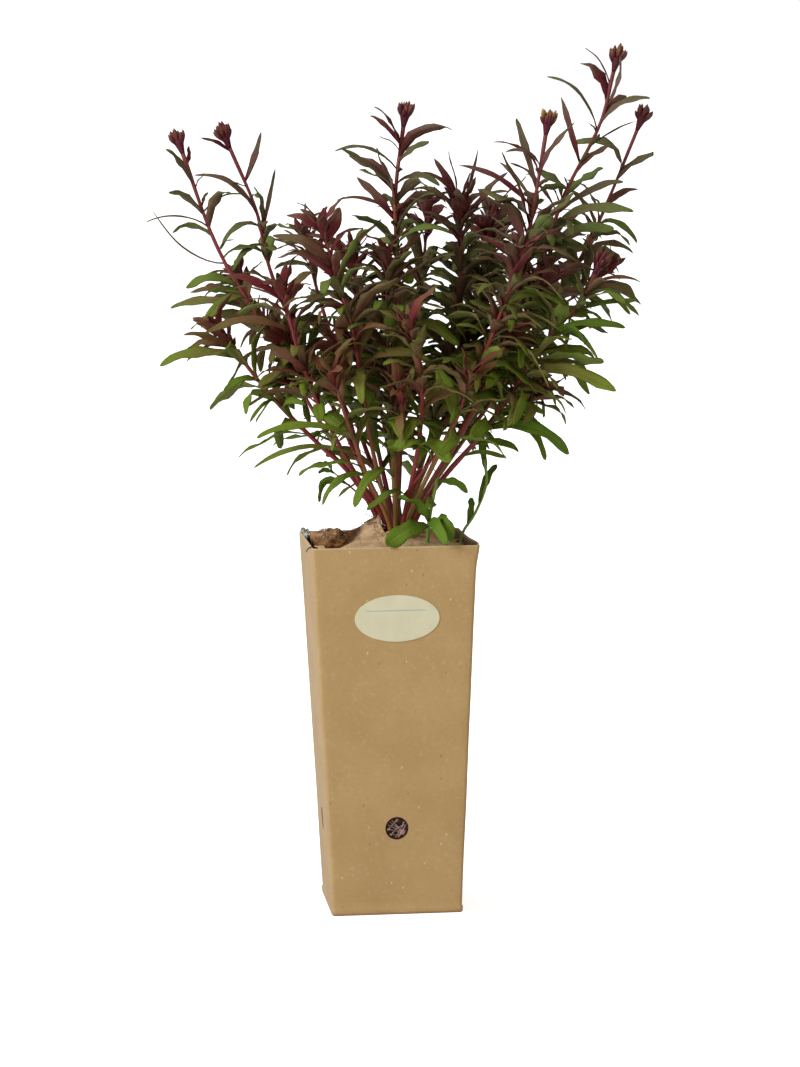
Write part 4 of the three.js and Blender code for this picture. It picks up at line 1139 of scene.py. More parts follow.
def stays_inside(spots):
    """Whether a leaf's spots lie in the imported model's box, with a little to spare."""
    low, high = LOW_BOX + FILL["inset"], HIGH_BOX - FILL["inset"]
    return all((low <= spot).all() and (spot <= high).all() for spot in spots)


def crowding(point):
    """The chance of a further leaf: 1 in the plant's core, and small outside it."""
    away = math.dist(*((p / r for p, r in zip(ends, CORE["reach"])) for ends in (point, CORE["middle"])))
    return lerp(1, CORE["outside"], smooth(away, *CORE["edge"]))


def fill_leaves(plant, curve, draw):
    """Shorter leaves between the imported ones, wherever there is still room."""
    start, end = FILL["shares"]
    count = round(curve.length() * (end - start) / FILL["every"])
    placed = []
    for k in range(count):
        share = start + (end - start) * (k + draw(0.2, 0.8)) / count
        look = draw_look(share, draw)
        look["length"] *= draw(*FILL["length"])
        look["width"] *= draw(*FILL["width"])
        look["curl"] = draw(*FILL["curl"])
        turn = k * GOLDEN_ANGLE + draw(*LOOK["turn_draw"])
        if draw(0, 1) > crowding(curve.point(share)):
            continue
        tries = (leaf for leaf in rule_tries(curve, share, turn, look) if stays_inside(leaf.spots()))
        placed.append(room.first_free(plant["name"], tries))
    return [leaf for leaf in placed if leaf]


def small_leaf(curve, share, turn, kind, draw, green):
    """One small leaf of an axil or a tuft, which needs no room of its own."""
    look = dict(
        length=draw(*kind["length"]), width=draw(*kind["width"]), opening=draw(*kind["opening"]),
        arch=draw(*kind["arch"]), droop=0, phase=draw(0, 1), roll=draw(*SMALL_ROLL),
    )
    leaf = rule_leaf(curve, share, turn, look)
    leaf.green = green
    return leaf


def small_leaves(plant, curve, draw):
    """Small leaves along a curve, and the tuft of young ones round its tip."""
    found = []
    start, end = AXIL["shares"]
    count = int(curve.length() * (end - start) / AXIL["every"])
    for k in range(count):
        share = start + (end - start) * (k + draw(0, 1)) / count
        leaf = small_leaf(curve, share, draw(0, FULL_TURN), AXIL, draw, draw(*AXIL["green"]))
        if draw(0, 1) < AXIL["least"] + (1 - AXIL["least"]) * crowding(leaf.curve.base):
            found.append(leaf)
    if plant["stem"]["tip"] != "buds" or curve is not plant["curves"][0]:
        for k in range(TUFT["leaves"]):
            share = 1 - TUFT["step"] * k
            found.append(small_leaf(curve, share, k * GOLDEN_ANGLE, TUFT, draw, draw(*TUFT["green"])))
    return [leaf for leaf in found if stays_inside([leaf.curve.tip]) and leaf.curve.tip[2] > LOWEST_LEAF]


room.between = FILL["between"]
room.own = FILL["own"]
for index, plant in enumerate(plants):
    draw = drawer(SEEDS["further"] + index)
    plant["further"] = []
    if not plant["low"]:
        for curve in plant["curves"]:
            plant["further"] += fill_leaves(plant, curve, draw)
            plant["further"] += small_leaves(plant, curve, draw)
for stem, base, bend, tip, width in BROAD_LEAVES:
    places = [np.array(end, float) for end in (base, bend, tip)]
    leaf = Leaf(*places, width, BROAD["phase"], HAND_ROLL, BROAD["green"])
    next(plant for plant in plants if plant["name"] == stem)["further"].append(leaf)
print("further leaves:", sum(len(plant["further"]) for plant in plants))

# %% [markdown]
# ## From curves to meshes
#
# Every piece is worked out in a bmesh, which is a mesh that operators can cut and extend. It ends as one
# object at the origin, unturned and unscaled, so that the finishes of all pieces share one space. The piece
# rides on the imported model's body and stands for its nodes.

# %% Mesh tools
def new_bmesh():
    """An empty bmesh with the two layers that the finishes read."""
    bm = bmesh.new()
    bm.loops.layers.uv.new("UVMap")
    bm.verts.layers.float_color.new("tint")
    return bm


def tint_layer(bm):
    return bm.verts.layers.float_color["tint"]


def add_piece(name, bm, finishes, nodes):
    """Makes a smooth-shaded piece of a bmesh: it rides on the object and stands for its nodes."""
    mesh = bpy.data.meshes.new(name)
    bm.to_mesh(mesh)
    bm.free()
    for finish in finishes:
        mesh.materials.append(finish)
    mesh.shade_smooth()
    piece = place_object(name, mesh)
    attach(piece, "root")
    if nodes:
        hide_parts(*nodes)
    return piece


def rows_of(values):
    return np.asarray(values)[:, None]

# %% [markdown]
# ## One leaf
#
# A leaf is a narrow blade with waved margins, a little twisted and arched. A flat card with a leaf's
# picture is the quick way to make one, but it vanishes when it is seen edge on. This blade starts as a flat
# grid whose vertices move to their places, and Solidify gives it its thickness and a second face, which is
# marked as the underside. The grid's own map stays on it, so that the finish knows where the midrib and the
# margins run.

# %% One leaf
LEAF_GRID = (12, 4)
SMALL_GRID = (8, 2)
LEAF_THICKNESS = 0.4
CURL = (0.0, 0.34)
BOW = 0.45
ROUND_TIP = 1.5
BLADE = dict(rise=0.78, fall=0.45, young_fall=0.8, young=0.2, grown=0.6)
STALK_HALF = 0.42
TIP_HALF = 0.1
RIPPLE = dict(size=0.1, turns=3.1)
TOOTH = dict(size=0.025, pitch=41, phase=20)
TWIST = dict(size=0.35, phase=9, still=0.35)
FINE_CAMBER = 1.8
CURL_START = 0.45


def in_box(places):
    """The places themselves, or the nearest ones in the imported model's box."""
    return np.clip(places, LOW_BOX + MARGIN, HIGH_BOX - MARGIN)


def blade_taper(share, green):
    """A blade's width along it, 1 at its widest: blunt at a green leaf's tip and pointed at a young one's."""
    rise = BLADE["rise"]
    fall = lerp(BLADE["young_fall"], BLADE["fall"], smooth(green, BLADE["young"], BLADE["grown"]))
    widest = rise / (rise + fall)
    return (share / widest) ** rise * ((1 - share) / (1 - widest)) ** fall


def blade_points(leaf, share, across):
    """Places on the blade, for arrays of shares along it and of places across it from -1 to 1."""
    base, bend, tip = leaf.curve.base, leaf.curve.bend, leaf.curve.tip
    rest = 1 - share
    middle = rows_of(rest**2) * base + rows_of(2 * rest * share) * bend + rows_of(share**2) * tip
    tangent = rows_of(rest) * (bend - base) + rows_of(share) * (tip - bend)
    tangent /= np.linalg.norm(tangent, axis=1)[:, None]
    up = np.cross(tangent, leaf.side)
    up /= np.linalg.norm(up, axis=1)[:, None]
    wave = np.sin(FULL_TURN * (MARGIN_WAVE["turns"] * share + leaf.phase))
    half = 0.5 * leaf.slimness * leaf.width * blade_taper(share, leaf.green)
    half *= 1 + MARGIN_WAVE["size"] * wave
    half *= 1 + TOOTH["size"] * np.sign(across) * np.sin(TOOTH["pitch"] * share + TOOTH["phase"] * leaf.phase)
    half = np.maximum(half, STALK_HALF + (TIP_HALF - STALK_HALF) * share)
    sway = np.sin(FULL_TURN * (BLADE_WAVE["turns"] * share + leaf.phase))
    lift = BLADE_WAVE["size"] * leaf.width * share * sway
    ripple = np.sin(FULL_TURN * (RIPPLE["turns"] * share + 3 * leaf.phase + 0.2 * across))
    lift += FINE_CAMBER * LEAF_SHAPE["camber"] * half * np.abs(across)
    lift += RIPPLE["size"] * half * across**2 * ripple * 2
    lift -= 2 * leaf.curl * leaf.length * np.maximum(share - CURL_START, 0) ** 2
    lift += BOW * leaf.curl * leaf.length * 4 * share * rest * rest
    angle = TWIST["size"] * math.sin(TWIST["phase"] * leaf.phase) * (share - TWIST["still"])
    sideways = rows_of(across * half * np.cos(angle))
    place = middle + sideways * leaf.side + rows_of(lift + across * half * np.sin(angle)) * up
    return in_box(place)


def add_leaf(bm, leaf, light, grid):
    """Adds one blade to a bmesh."""
    tint = tint_layer(bm)
    made = bmesh.ops.create_grid(bm, x_segments=grid[0], y_segments=grid[1], size=0.5, calc_uvs=True)
    top = made["verts"]
    share = 1 - np.clip([0.5 - vert.co.x for vert in top], 0, 1) ** ROUND_TIP
    across = np.array([2 * vert.co.y for vert in top])
    faces = list({face for vert in top for face in vert.link_faces})
    for vert, place in zip(top, blade_points(leaf, share, across) * MM):
        vert.co = place
        vert[tint] = (leaf.green, light, 0, 1)
    for face in faces:
        face.normal_update()
    back = bmesh.ops.solidify(bm, geom=faces, thickness=LEAF_THICKNESS * MM)
    for vert in back["geom"]:
        if isinstance(vert, bmesh.types.BMVert):
            vert[tint] = (leaf.green, light, 1, 1)

# %% [markdown]
# ## One rod
#
# Stems, twigs, roots, fibres and straws are all rods. A curve object with a bevel gives a rod too, but it
# can't be tinted ring by ring, nor be one mesh with its leaves. This rod starts as a cone without taper
# that is cut into rings, and every ring moves to its place on the curve.

# %% One rod
def add_rod(bm, curve, radius_at, tint_at, sides=8, spacing=5, material=0):
    """A round rod along a curve, with its radius in millimetres and its tint by the share of its length."""
    tint = tint_layer(bm)
    made = bmesh.ops.create_cone(
        bm, cap_ends=True, cap_tris=False, segments=sides, radius1=1, radius2=1, depth=1,
    )
    verts = set(made["verts"])
    upright = {e for v in verts for e in v.link_edges if abs(e.verts[0].co.z - e.verts[1].co.z) > 0.5}
    cuts = max(1, math.ceil(curve.length() / spacing)) - 1
    if cuts:
        cut = bmesh.ops.subdivide_edges(bm, edges=list(upright), cuts=cuts, use_grid_fill=True)
        parts = [item for item in cut["geom_split"] if isinstance(item, bmesh.types.BMEdge)]
        verts = {vert for edge in parts for vert in edge.verts}
    frames = {}
    for vert in verts:
        share = round(min(max(vert.co.z + 0.5, 0), 1), 5)
        if share not in frames:
            first, second = cross_axes(curve.tangent(share))
            frames[share] = (curve.point(share), first, second, radius_at(share), tint_at(share))
        middle, first, second, radius, color = frames[share]
        vert.co = (middle + radius * (vert.co.x * first - vert.co.y * second)) * MM
        vert[tint] = color
    for face in {face for vert in verts for face in vert.link_faces}:
        face.material_index = material
        face.normal_update()

# %% [markdown]
# ## Leafy stems
#
# Stems are tan and woody where they leave the soil, crimson in the middle and dull red above. Leaves are
# green low on the plant, bronze and dark red near the top, and each is a little lighter or darker than the
# next. Each leaf could be an object of its own, but the scene would hold well over a thousand of them. So
# each stem is one piece, its rods and its blades together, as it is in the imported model.

# %% Stem pieces
KNOT = dict(size=0.1, spacing=9)
SLIMMER = (0.88, 1.08)
SHOOT_SLIMMER = (0.7, 0.9)
STUBS = dict(count=4, heights=(208, 262), length=(2.5, 9), opening=(0.5, 1.1), arch=(-0.4, 0.6), radius=0.35)
WOOD = dict(low=225, high=300, chance=(-0.7, 1))
BUD_FLARE = dict(size=0.35, start=0.9)
FRESH = (1.15, 1.4)
THREAD = dict(below=2, slimness=0.5)
YOUNG = dict(near=3, far=32, green=0.06, share=0.85)
GREEN = dict(low=225, high=420, bottom=0.95, top=0.45, spread=0.35, right=0.6, right_x=(50, 120))


def wood_at(height):
    return 1 - min(max((height - WOOD["low"]) / (WOOD["high"] - WOOD["low"]), 0), 1)


def green_of(leaf, plant, draw):
    """How green a leaf is: less so near the plant's top, and least round a growing tip."""
    if plant["low"]:
        return draw(*FRESH)
    share = smooth(leaf.curve.tip[2], GREEN["low"], GREEN["high"])
    usual = lerp(GREEN["bottom"], GREEN["top"], share) + draw(-GREEN["spread"], GREEN["spread"])
    usual += GREEN["right"] * smooth(leaf.curve.tip[0], *GREEN["right_x"]) * (1 - share)
    nearest = min(math.dist(leaf.curve.base, curve.point(1)) for curve in plant["curves"])
    young = YOUNG["share"] * (1 - smooth(nearest, YOUNG["near"], YOUNG["far"]))
    return lerp(usual, YOUNG["green"], young)


def add_stubs(bm, curve, draw):
    """Short dry twigs where the stem's lowest leaves have dropped."""
    for _ in range(STUBS["count"]):
        share = (draw(*STUBS["heights"]) - FOOT_DEPTH) / (curve.point(1)[2] - FOOT_DEPTH)
        look = {key: draw(*STUBS[key]) for key in ("length", "opening", "arch")}
        look["droop"] = 0
        places = rule_points(curve, share, draw(0, FULL_TURN), look)
        add_rod(
            bm, Arc(*places), lambda s: STUBS["radius"] * (1 - 0.6 * s), lambda s: (s, 0, 0.3, 1),
            sides=5, spacing=3, material=1,
        )


def make_stem(plant, index):
    """The stem, its side shoots and its packed leaves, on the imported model's curves."""
    draw = drawer(SEEDS["blades"] + index)
    bm = new_bmesh()
    for place, curve in enumerate(plant["curves"]):
        main = place == 0
        foot = plant["stem"].get("radius", STEM["radius"]) if main else SHOOT["radius"]
        tip = STEM["tip_radius"] if main else SHOOT["tip_radius"]
        length = curve.length()
        light = draw(0, 1)
        slim = draw(*SLIMMER) if main else draw(*SHOOT_SLIMMER)
        woody = -1 if plant["low"] else max(0, draw(*WOOD["chance"])) if main else 0
        budded = main and plant["stem"]["tip"] == "buds"

        def radius_at(share):
            knot = KNOT["size"] * math.cos(FULL_TURN * share * length / KNOT["spacing"]) ** 6
            flare = BUD_FLARE["size"] * smooth(share, BUD_FLARE["start"], 1) if budded else 0
            return slim * lerp(foot, tip, share) * (1 + knot + flare)

        def tint_at(share):
            return (share, light, woody if woody < 0 else woody * wood_at(curve.point(share)[2]), 1)

        add_rod(bm, curve, radius_at, tint_at, spacing=4, material=1)
        if main and woody >= 0:
            add_stubs(bm, curve, draw)
    for leaf in plant["leaves"]:
        leaf.green = green_of(leaf, plant, draw)
        leaf.curl = draw(*CURL)
        if leaf.width < THREAD["below"]:
            leaf.slimness = THREAD["slimness"]
        add_leaf(bm, leaf, draw(0, 1), LEAF_GRID)
    return add_piece(f"fine_{plant['name']}", bm, [LEAF, STALK], [plant["name"]])


def make_further(plant, index):
    """The further leaves of a stem, as a piece of their own. One stem has a low twig too."""
    draw = drawer(SEEDS["small"] + index)
    bm = new_bmesh()
    if plant["name"] == "stem_low_left":
        twig = Arc(*(np.array(end, float) for end in LOW_TWIG))
        thin = (lambda s: lerp(0.8, 0.4, s), lambda s: (s, 0.5, 0.2, 1))
        add_rod(bm, twig, *thin, sides=6, spacing=4, material=1)
    for leaf in plant["further"]:
        if leaf.green is None:
            leaf.green = green_of(leaf, plant, draw)
        add_leaf(bm, leaf, draw(0, 1), SMALL_GRID)
    return add_piece(plant["name"].replace("stem", "leaves"), bm, [LEAF, STALK], [])


made = [make_stem(plant, index) for index, plant in enumerate(plants)]
made += [make_further(plant, index) for index, plant in enumerate(plants) if plant["further"]]
print("stem pieces:", len(made), "triangles:", sum(2 * len(piece.data.polygons) for piece in made))

# %% [markdown]
# ## Bud heads
#
# A head is a tight bunch of upright buds, each pointed at both ends and thickest above its middle. One
# lumpy cone would do from afar, but the heads stand free against the sky, and the tips of the buds make
# their outline. So a small cone carries them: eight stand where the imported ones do, and smaller ones fill
# the head between them.

# %% Bud heads
BUD_HEAD = dict(
    length=11, radius=1.7, count=8, core=6.5, core_radius=1.1, core_flare=2, spread=4.8, foot=2.2,
    lean=1.35, rise=(0.55, 0.8), fall=0.45, sharpness=1.67, root=0.3,
)
SLIM_BUD = 0.78
SMALL_BUDS = dict(
    count=22, radius=(0.65, 1.05), rise=(0.35, 0.72), spread=(1.2, 5), foot=(0.5, 3), root=0.2, lean=1.1,
)
GOLD = dict(stem_big_bud=1, stem_right_tall=0.2, stem_right_second=0)
USUAL_GOLD = 0.04
NECK = 1.6


def add_spindle(bm, foot, tip, radius, light, gold):
    """One bud: pointed at both ends, and thickest past its middle."""
    tint = tint_layer(bm)
    first, second = cross_axes(unit(tip - foot))
    made = bmesh.ops.create_uvsphere(bm, u_segments=8, v_segments=9, radius=1)
    for vert in made["verts"]:
        along = min(max((vert.co.z + 1) / 2, 0), 1)
        angle = math.atan2(vert.co.y, vert.co.x)
        reach = radius * math.sin(math.pi * along ** BUD_HEAD["sharpness"])
        out = math.cos(angle) * first - math.sin(angle) * second
        vert.co = in_box(lerp(foot, tip, along) + reach * out) * MM
        vert[tint] = (along, light, gold, 1)


def make_buds(plant, index):
    """A head of buds on a stem's tip. The big one is the ripest, with golden tips."""
    gold = GOLD.get(plant["name"], USUAL_GOLD)
    head, draw = BUD_HEAD, plant["draw"]
    fine = drawer(SEEDS["buds"] + index)
    curve = plant["curves"][0]
    tangent = curve.tangent(1)
    axis = curve.point(1) + GAP * tangent
    first, second = cross_axes(tangent)
    bm = new_bmesh()
    core = Arc(axis - NECK * tangent, axis + 0.5 * head["core"] * tangent, axis + head["core"] * tangent)
    add_rod(
        bm, core, lambda s: head["core_radius"] + head["core_flare"] * s, lambda s: (0.1, 0, 0, 1), spacing=2,
    )
    for k in range(head["count"]):
        turn = k * GOLDEN_ANGLE
        spread = head["spread"] * math.sqrt(k / head["count"])
        out = first * math.cos(turn) + second * math.sin(turn)
        foot = axis + head["foot"] * tangent + head["root"] * spread * out
        rise = head["core"] + head["length"] * draw(*head["rise"]) - head["fall"] * spread
        tip = axis + rise * tangent + head["lean"] * spread * out
        add_spindle(bm, foot, tip, SLIM_BUD * head["radius"], fine(0, 1), gold)
    for k in range(SMALL_BUDS["count"]):
        turn = k * GOLDEN_ANGLE + 1
        out = first * math.cos(turn) + second * math.sin(turn)
        spread = fine(*SMALL_BUDS["spread"])
        foot = axis + fine(*SMALL_BUDS["foot"]) * tangent + SMALL_BUDS["root"] * spread * out
        rise = head["core"] + head["length"] * fine(*SMALL_BUDS["rise"]) - head["fall"] * spread
        tip = axis + rise * tangent + SMALL_BUDS["lean"] * spread * out
        add_spindle(bm, foot, tip, fine(*SMALL_BUDS["radius"]), fine(0, 1), gold)
    name = plant["name"].replace("stem", "buds")
    return add_piece(f"fine_{name}", bm, [BUD], [name])


heads = [make_buds(plant, index) for index, plant in enumerate(plants) if plant["stem"]["tip"] == "buds"]
print("bud heads:", len(heads))

# %% [markdown]
# ## The pot
#
# The pot is one strip of board, folded round four soft corners, with its foot edge turned up as a hem. A
# cube with a bevel and a thickness comes close, but the hem, the cut rim and the inside, darkened by dampness
# and painted shade, all follow one outline, from foot to rim and down again. So the shell is a closed circle
# of vertices that becomes a rounded square and is extruded ring by ring: up the outside, over the rim and
# down the inside. The walls of a real board pot are never quite flat, so a slow noise moves them by a
# fraction of a millimetre.

# %% Rounded squares and lofts
POT = dict(height=203, top=90, foot=70.8, wall=1.4, floor=1.8, corner=2)
HEM = dict(height=3.6, out=0.5)
FLARE = dict(reach=2.2, height=14, width=18, back=15, forward=0.1)
LIP = ((0.35, 0.1), (0.7, 0), (1.05, 0.1))
WARP = dict(size=0.22, scale=0.022)
CORNER_STEPS = 4
SIDE_STEPS = 24
ROUNDEST_CORNER = 0.8


def square_places():
    """Places round a square: shares of the corner's centre, and the direction outwards from it."""
    signs = [(1, 1), (-1, 1), (-1, -1), (1, -1)]
    places = []
    for quarter, (x, y) in enumerate(signs):
        for step in range(CORNER_STEPS + 1):
            angle = (quarter + step / CORNER_STEPS) * math.pi / 2
            places.append((x, y, math.cos(angle), math.sin(angle)))
        next_x, next_y = signs[(quarter + 1) % 4]
        for step in range(1, SIDE_STEPS):
            share = step / SIDE_STEPS
            places.append((lerp(x, next_x, share), lerp(y, next_y, share), math.cos(angle), math.sin(angle)))
    return places


SQUARE = square_places()


def square_point(index, half, z):
    x, y, out_x, out_y = SQUARE[index]
    radius = min(POT["corner"], ROUNDEST_CORNER * half)
    return np.array([x * (half - radius) + radius * out_x, y * (half - radius) + radius * out_y, z])


def loft(bm, profile, shift, tint_of, caps=True):
    """Extrudes a rounded square along a profile of (half width, z), and moves each point by shift."""
    tint = tint_layer(bm)
    index_of = bm.verts.layers.int.new("index")
    made = bmesh.ops.create_circle(bm, segments=len(SQUARE), radius=1)
    verts = made["verts"]
    for index, vert in enumerate(verts):
        vert[index_of] = index
    edges = list({edge for vert in verts for edge in vert.link_edges})
    first_edges = edges
    for ring, (half, z) in enumerate(profile):
        if ring:
            grown = bmesh.ops.extrude_edge_only(bm, edges=edges)["geom"]
            verts = [item for item in grown if isinstance(item, bmesh.types.BMVert)]
            own = set(verts)
            edges = [e for e in grown if isinstance(e, bmesh.types.BMEdge) and own.issuperset(e.verts)]
        for vert in verts:
            vert.co = shift(square_point(vert[index_of], half, z)) * MM
            vert[tint] = tint_of(ring)
    if caps:
        for rim in (first_edges, edges):
            bmesh.ops.contextual_create(bm, geom=rim)
    bm.verts.layers.int.remove(index_of)
    bmesh.ops.recalc_face_normals(bm, faces=bm.faces[:])

# %% The pot's shell
def half_width_at(z):
    return lerp(POT["foot"], POT["top"], z / POT["height"]) / 2


def wall_shift(point):
    """The rim's flare at the right front corner, and the slow warp of the walls."""
    x, y, z = point
    high = smooth(z, POT["height"] - FLARE["height"], POT["height"])
    away = math.hypot(x - POT["top"] / 2, y + POT["top"] / 2 - FLARE["back"])
    push = FLARE["reach"] * high * math.exp(-((away / FLARE["width"]) ** 2))
    warp = WARP["size"] * noise.noise(Vector(point) * WARP["scale"]) * smooth(z, 0, 30)
    out = max(abs(x), abs(y), 1)
    return np.array([x + push + warp * x / out, y - FLARE["forward"] * push + warp * y / out, z])


def make_pot():
    """The shell before its holes: outside, rim and inside, with the cut rim marked by its tint."""
    bm = new_bmesh()
    foot, rim, wall = HEM["height"], POT["height"], POT["wall"]
    outside = [(half_width_at(0) + HEM["out"] - 0.6, 0), (half_width_at(0) + HEM["out"], 0.6)]
    hem = half_width_at(foot)
    outside += [(hem + HEM["out"], foot - 0.5), (hem + 0.6 * HEM["out"], foot + 0.1)]
    outside += [(half_width_at(foot + 0.6), foot + 0.6)]
    heights = [8, 20, 34, 48, 62, 80, 100, 120, 140, 156, 172, 184, 189, 193, 196, 199, 201, 202.2]
    outside += [(half_width_at(z), z) for z in heights]
    lip = [(half_width_at(rim) - inset, rim - drop) for inset, drop in LIP]
    inside = [(half_width_at(z) - wall, z) for z in heights[:0:-1] + [POT["floor"]]]
    profile = outside + lip + inside
    lip_start, lip_end = len(outside) - 1, len(outside) + len(lip)

    def tint_of(ring):
        # inner paints the inside dark, for dampness and painted shade; edge lightens the cut rim.
        inner = smooth(ring, lip_end - 2, lip_end + 2)
        edge = 1.0 if lip_start < ring < lip_end else 0.0
        return (inner, edge, 0, 1)

    loft(bm, profile, wall_shift, tint_of)
    return add_piece("fine_pot", bm, [BOARD], ["pot"])


pot = make_pot()
print("pot:", len(pot.data.polygons), "faces")

# %% [markdown]
# ## Drain holes
#
# Each wall has one round hole. Its edge could be built into the rings of the wall, but they would have to
# bend round it. Two long cylinders cut all four holes at once by a Boolean modifier instead. The modifier
# is then made final, so that the vertices round the cut can be tinted: dark inside, for dampness and painted
# shade, and plain outside.

# %% Drain holes
DRAIN = dict(radius=6.35, height=48)


def hole_cutter(name, turn):
    """A long cylinder through two walls."""
    bm = new_bmesh()
    place = Matrix.Translation((0, 0, DRAIN["height"] * MM)) @ Matrix.Rotation(turn, 4, "Z")
    place = place @ Matrix.Rotation(math.pi / 2, 4, "X")
    bmesh.ops.create_cone(
        bm, cap_ends=True, segments=48, radius1=DRAIN["radius"] * MM, radius2=DRAIN["radius"] * MM,
        depth=2 * POT["top"] * MM, matrix=place,
    )
    mesh = bpy.data.meshes.new(name)
    bm.to_mesh(mesh)
    bm.free()
    mesh.materials.append(BOARD)
    return place_object(name, mesh)


def cut_holes(piece, cutters):
    """Cuts the cylinders out of a piece for good."""
    for cutter in cutters:
        modifier = piece.modifiers.new("hole", "BOOLEAN")
        modifier.object = cutter
        modifier.operation = "DIFFERENCE"
        modifier.solver = "EXACT"
    depsgraph = bpy.context.evaluated_depsgraph_get()
    cut = bpy.data.meshes.new_from_object(piece.evaluated_get(depsgraph))
    piece.modifiers.clear()
    piece.data = cut
    for cutter in cutters:
        bpy.data.objects.remove(cutter)
    for vert, tint in zip(cut.vertices, cut.attributes["tint"].data):
        x, y, z = vert.co / MM
        if abs(z - DRAIN["height"]) < DRAIN["radius"] + 1:
            deep = half_width_at(z) - max(abs(x), abs(y)) > POT["wall"] / 2
            # The inside of the cut is painted dark, for dampness and painted shade.
            tint.color = (1, 0, 0, 1) if deep else (0, 0, 0, 1)


cut_holes(pot, [hole_cutter("cutter_side", 0), hole_cutter("cutter_front", math.pi / 2)])
pot.data.set_sharp_from_angle(angle=math.radians(35))
print("pot with holes:", len(pot.data.polygons), "faces")

# %% [markdown]
# ## Label
#
# The label is a thin oval of paper, stuck to the front wall. It could be painted by the board's finish, but
# paper has an edge that catches the light. A filled circle is inset ring by ring, stretched to the oval,
# given the paper's thickness, and laid against the wall, warp and all.

# %% Label
LABEL = dict(width=46, height=25.5, thickness=0.4, x=1, z=164)


def make_label():
    """The oval of paper on the front wall."""
    bm = new_bmesh()
    bmesh.ops.create_circle(bm, cap_ends=True, segments=72, radius=1)
    for depth in (0.03, 0.22, 0.25, 0.25):
        middle = max(bm.faces, key=lambda face: len(face.verts))
        bmesh.ops.inset_region(bm, faces=[middle], thickness=depth)
    for vert in bm.verts:
        x = LABEL["x"] + vert.co.x * LABEL["width"] / 2
        z = LABEL["z"] + vert.co.y * LABEL["height"] / 2
        wall = wall_shift(np.array([x, -half_width_at(z), z]))
        edge = smooth(vert.co.length, 0.9, 1)
        vert.co = Vector((x, wall[1] - 0.1 - LABEL["thickness"] + 0.12 * edge, z)) * MM
    bmesh.ops.recalc_face_normals(bm, faces=bm.faces[:])
    if sum(face.normal.y for face in bm.faces) > 0:
        bmesh.ops.reverse_faces(bm, faces=bm.faces[:])
    bmesh.ops.solidify(bm, geom=bm.faces[:], thickness=LABEL["thickness"] * MM)
    return add_piece("fine_label", bm, [LABEL_PAPER], ["label"])


label = make_label()
label.data.set_sharp_from_angle(angle=math.radians(40))
print("label:", len(label.data.polygons), "faces")

# %% [markdown]
# ## Soil
#
# The compost shows in the drain holes and in the crown. A dark plate would do under the sheet, but not
# behind the holes, so it is a loft that fills the pot, with a crumbly top.

# %% Soil
SOIL = dict(edge=192, rise=12, power=1.6)
CRUMBS = dict(size=1.1, scale=0.35)


def soil_height(share):
    return SOIL["edge"] + SOIL["rise"] * (1 - share ** SOIL["power"])


def soil_shift(point):
    """Crumbs: the wall sinks in a little, and the top goes up and down."""
    x, y, z = point
    rough = noise.fractal(Vector(point) * CRUMBS["scale"], 0.8, 2, 3)
    top = smooth(z, SOIL["edge"] - 4, SOIL["edge"])
    shrink = 1 - 0.005 * (1 + rough)
    return np.array([x * shrink, y * shrink, z + top * CRUMBS["size"] * rough])


def make_soil():
    """The block of compost."""
    bm = new_bmesh()
    gap = POT["wall"] + GAP
    heights = [POT["floor"] + GAP] + list(range(6, 192, 3)) + [SOIL["edge"]]
    profile = [(half_width_at(z) - gap, z) for z in heights]
    widest = profile[-1][0]
    shares = [1 - k / 16 for k in range(1, 16)]
    profile += [(share * widest, soil_height(share)) for share in shares]
    loft(bm, profile, soil_shift, lambda ring: (0, 0, 0, 1))
    return add_piece("fine_root_ball", bm, [SOIL_FINISH], ["root_ball"])


soil = make_soil()
print("soil:", len(soil.data.polygons), "faces")

# %% [markdown]
# ## Drain roots
#
# In each hole a fan of fine roots crosses the dark soil. A pattern on the soil would look flat there,
# because the roots lie inside the thickness of the board and throw small shadows. They are nine rods to a
# hole, one of them level, each as long as the hole is wide at its place.

# %% Drain roots
ROOTS = dict(
    strands=9, radius=(0.36, 0.54), reach=5.2, wander=2.2, deep=0.25, lean=(0.1, 0.9), offset=(-3.5, 3.5),
    lying=-3.3,
)
WALL_LEAN = math.atan((POT["top"] - POT["foot"]) / 2 / POT["height"])


def make_drain_roots(name, turn, seed):
    """A fan of strands in one hole, crossed by one that lies level."""
    draw = drawer(seed)
    bm = new_bmesh()
    wall = turned(np.array([0, -half_width_at(DRAIN["height"]) + POT["wall"] / 2, 0]), UP, turn)
    across = turned(np.array([1.0, 0, 0]), UP, turn)
    inward = unit(-wall)
    origin = wall + DRAIN["height"] * UP
    for k in range(ROOTS["strands"]):
        heading, offset = across, ROOTS["lying"]
        if k:
            lean, offset = draw(*ROOTS["lean"]) * math.pi, draw(*ROOTS["offset"])
            heading = math.cos(lean) * across + math.sin(lean) * UP
        beside = cross(inward, heading)
        reach = math.sqrt(max(ROOTS["reach"] ** 2 - offset**2, 4))
        middle = origin + offset * (beside if k else UP)
        depth = draw(-ROOTS["deep"], ROOTS["deep"])
        start = middle - reach * heading + depth * inward
        end = middle + reach * heading - depth * inward
        bend = middle + draw(-1, 1) * ROOTS["wander"] * beside
        lean_in = math.tan(WALL_LEAN) * inward
        strand = Arc(*(point - (point[2] - DRAIN["height"]) * lean_in for point in (start, bend, end)))
        radius = draw(*ROOTS["radius"])
        add_rod(bm, strand, lambda s: radius * (1 - 0.4 * s), lambda s: (s, 0, 0, 1), sides=6, spacing=1)
    return add_piece(f"fine_{name}", bm, [ROOT], [name])


for number, side in enumerate(("front", "right", "back", "left")):
    made = make_drain_roots(f"drain_roots_{side}", number * math.pi / 2, SEEDS["roots"] + number)
print("last root piece:", made.name)

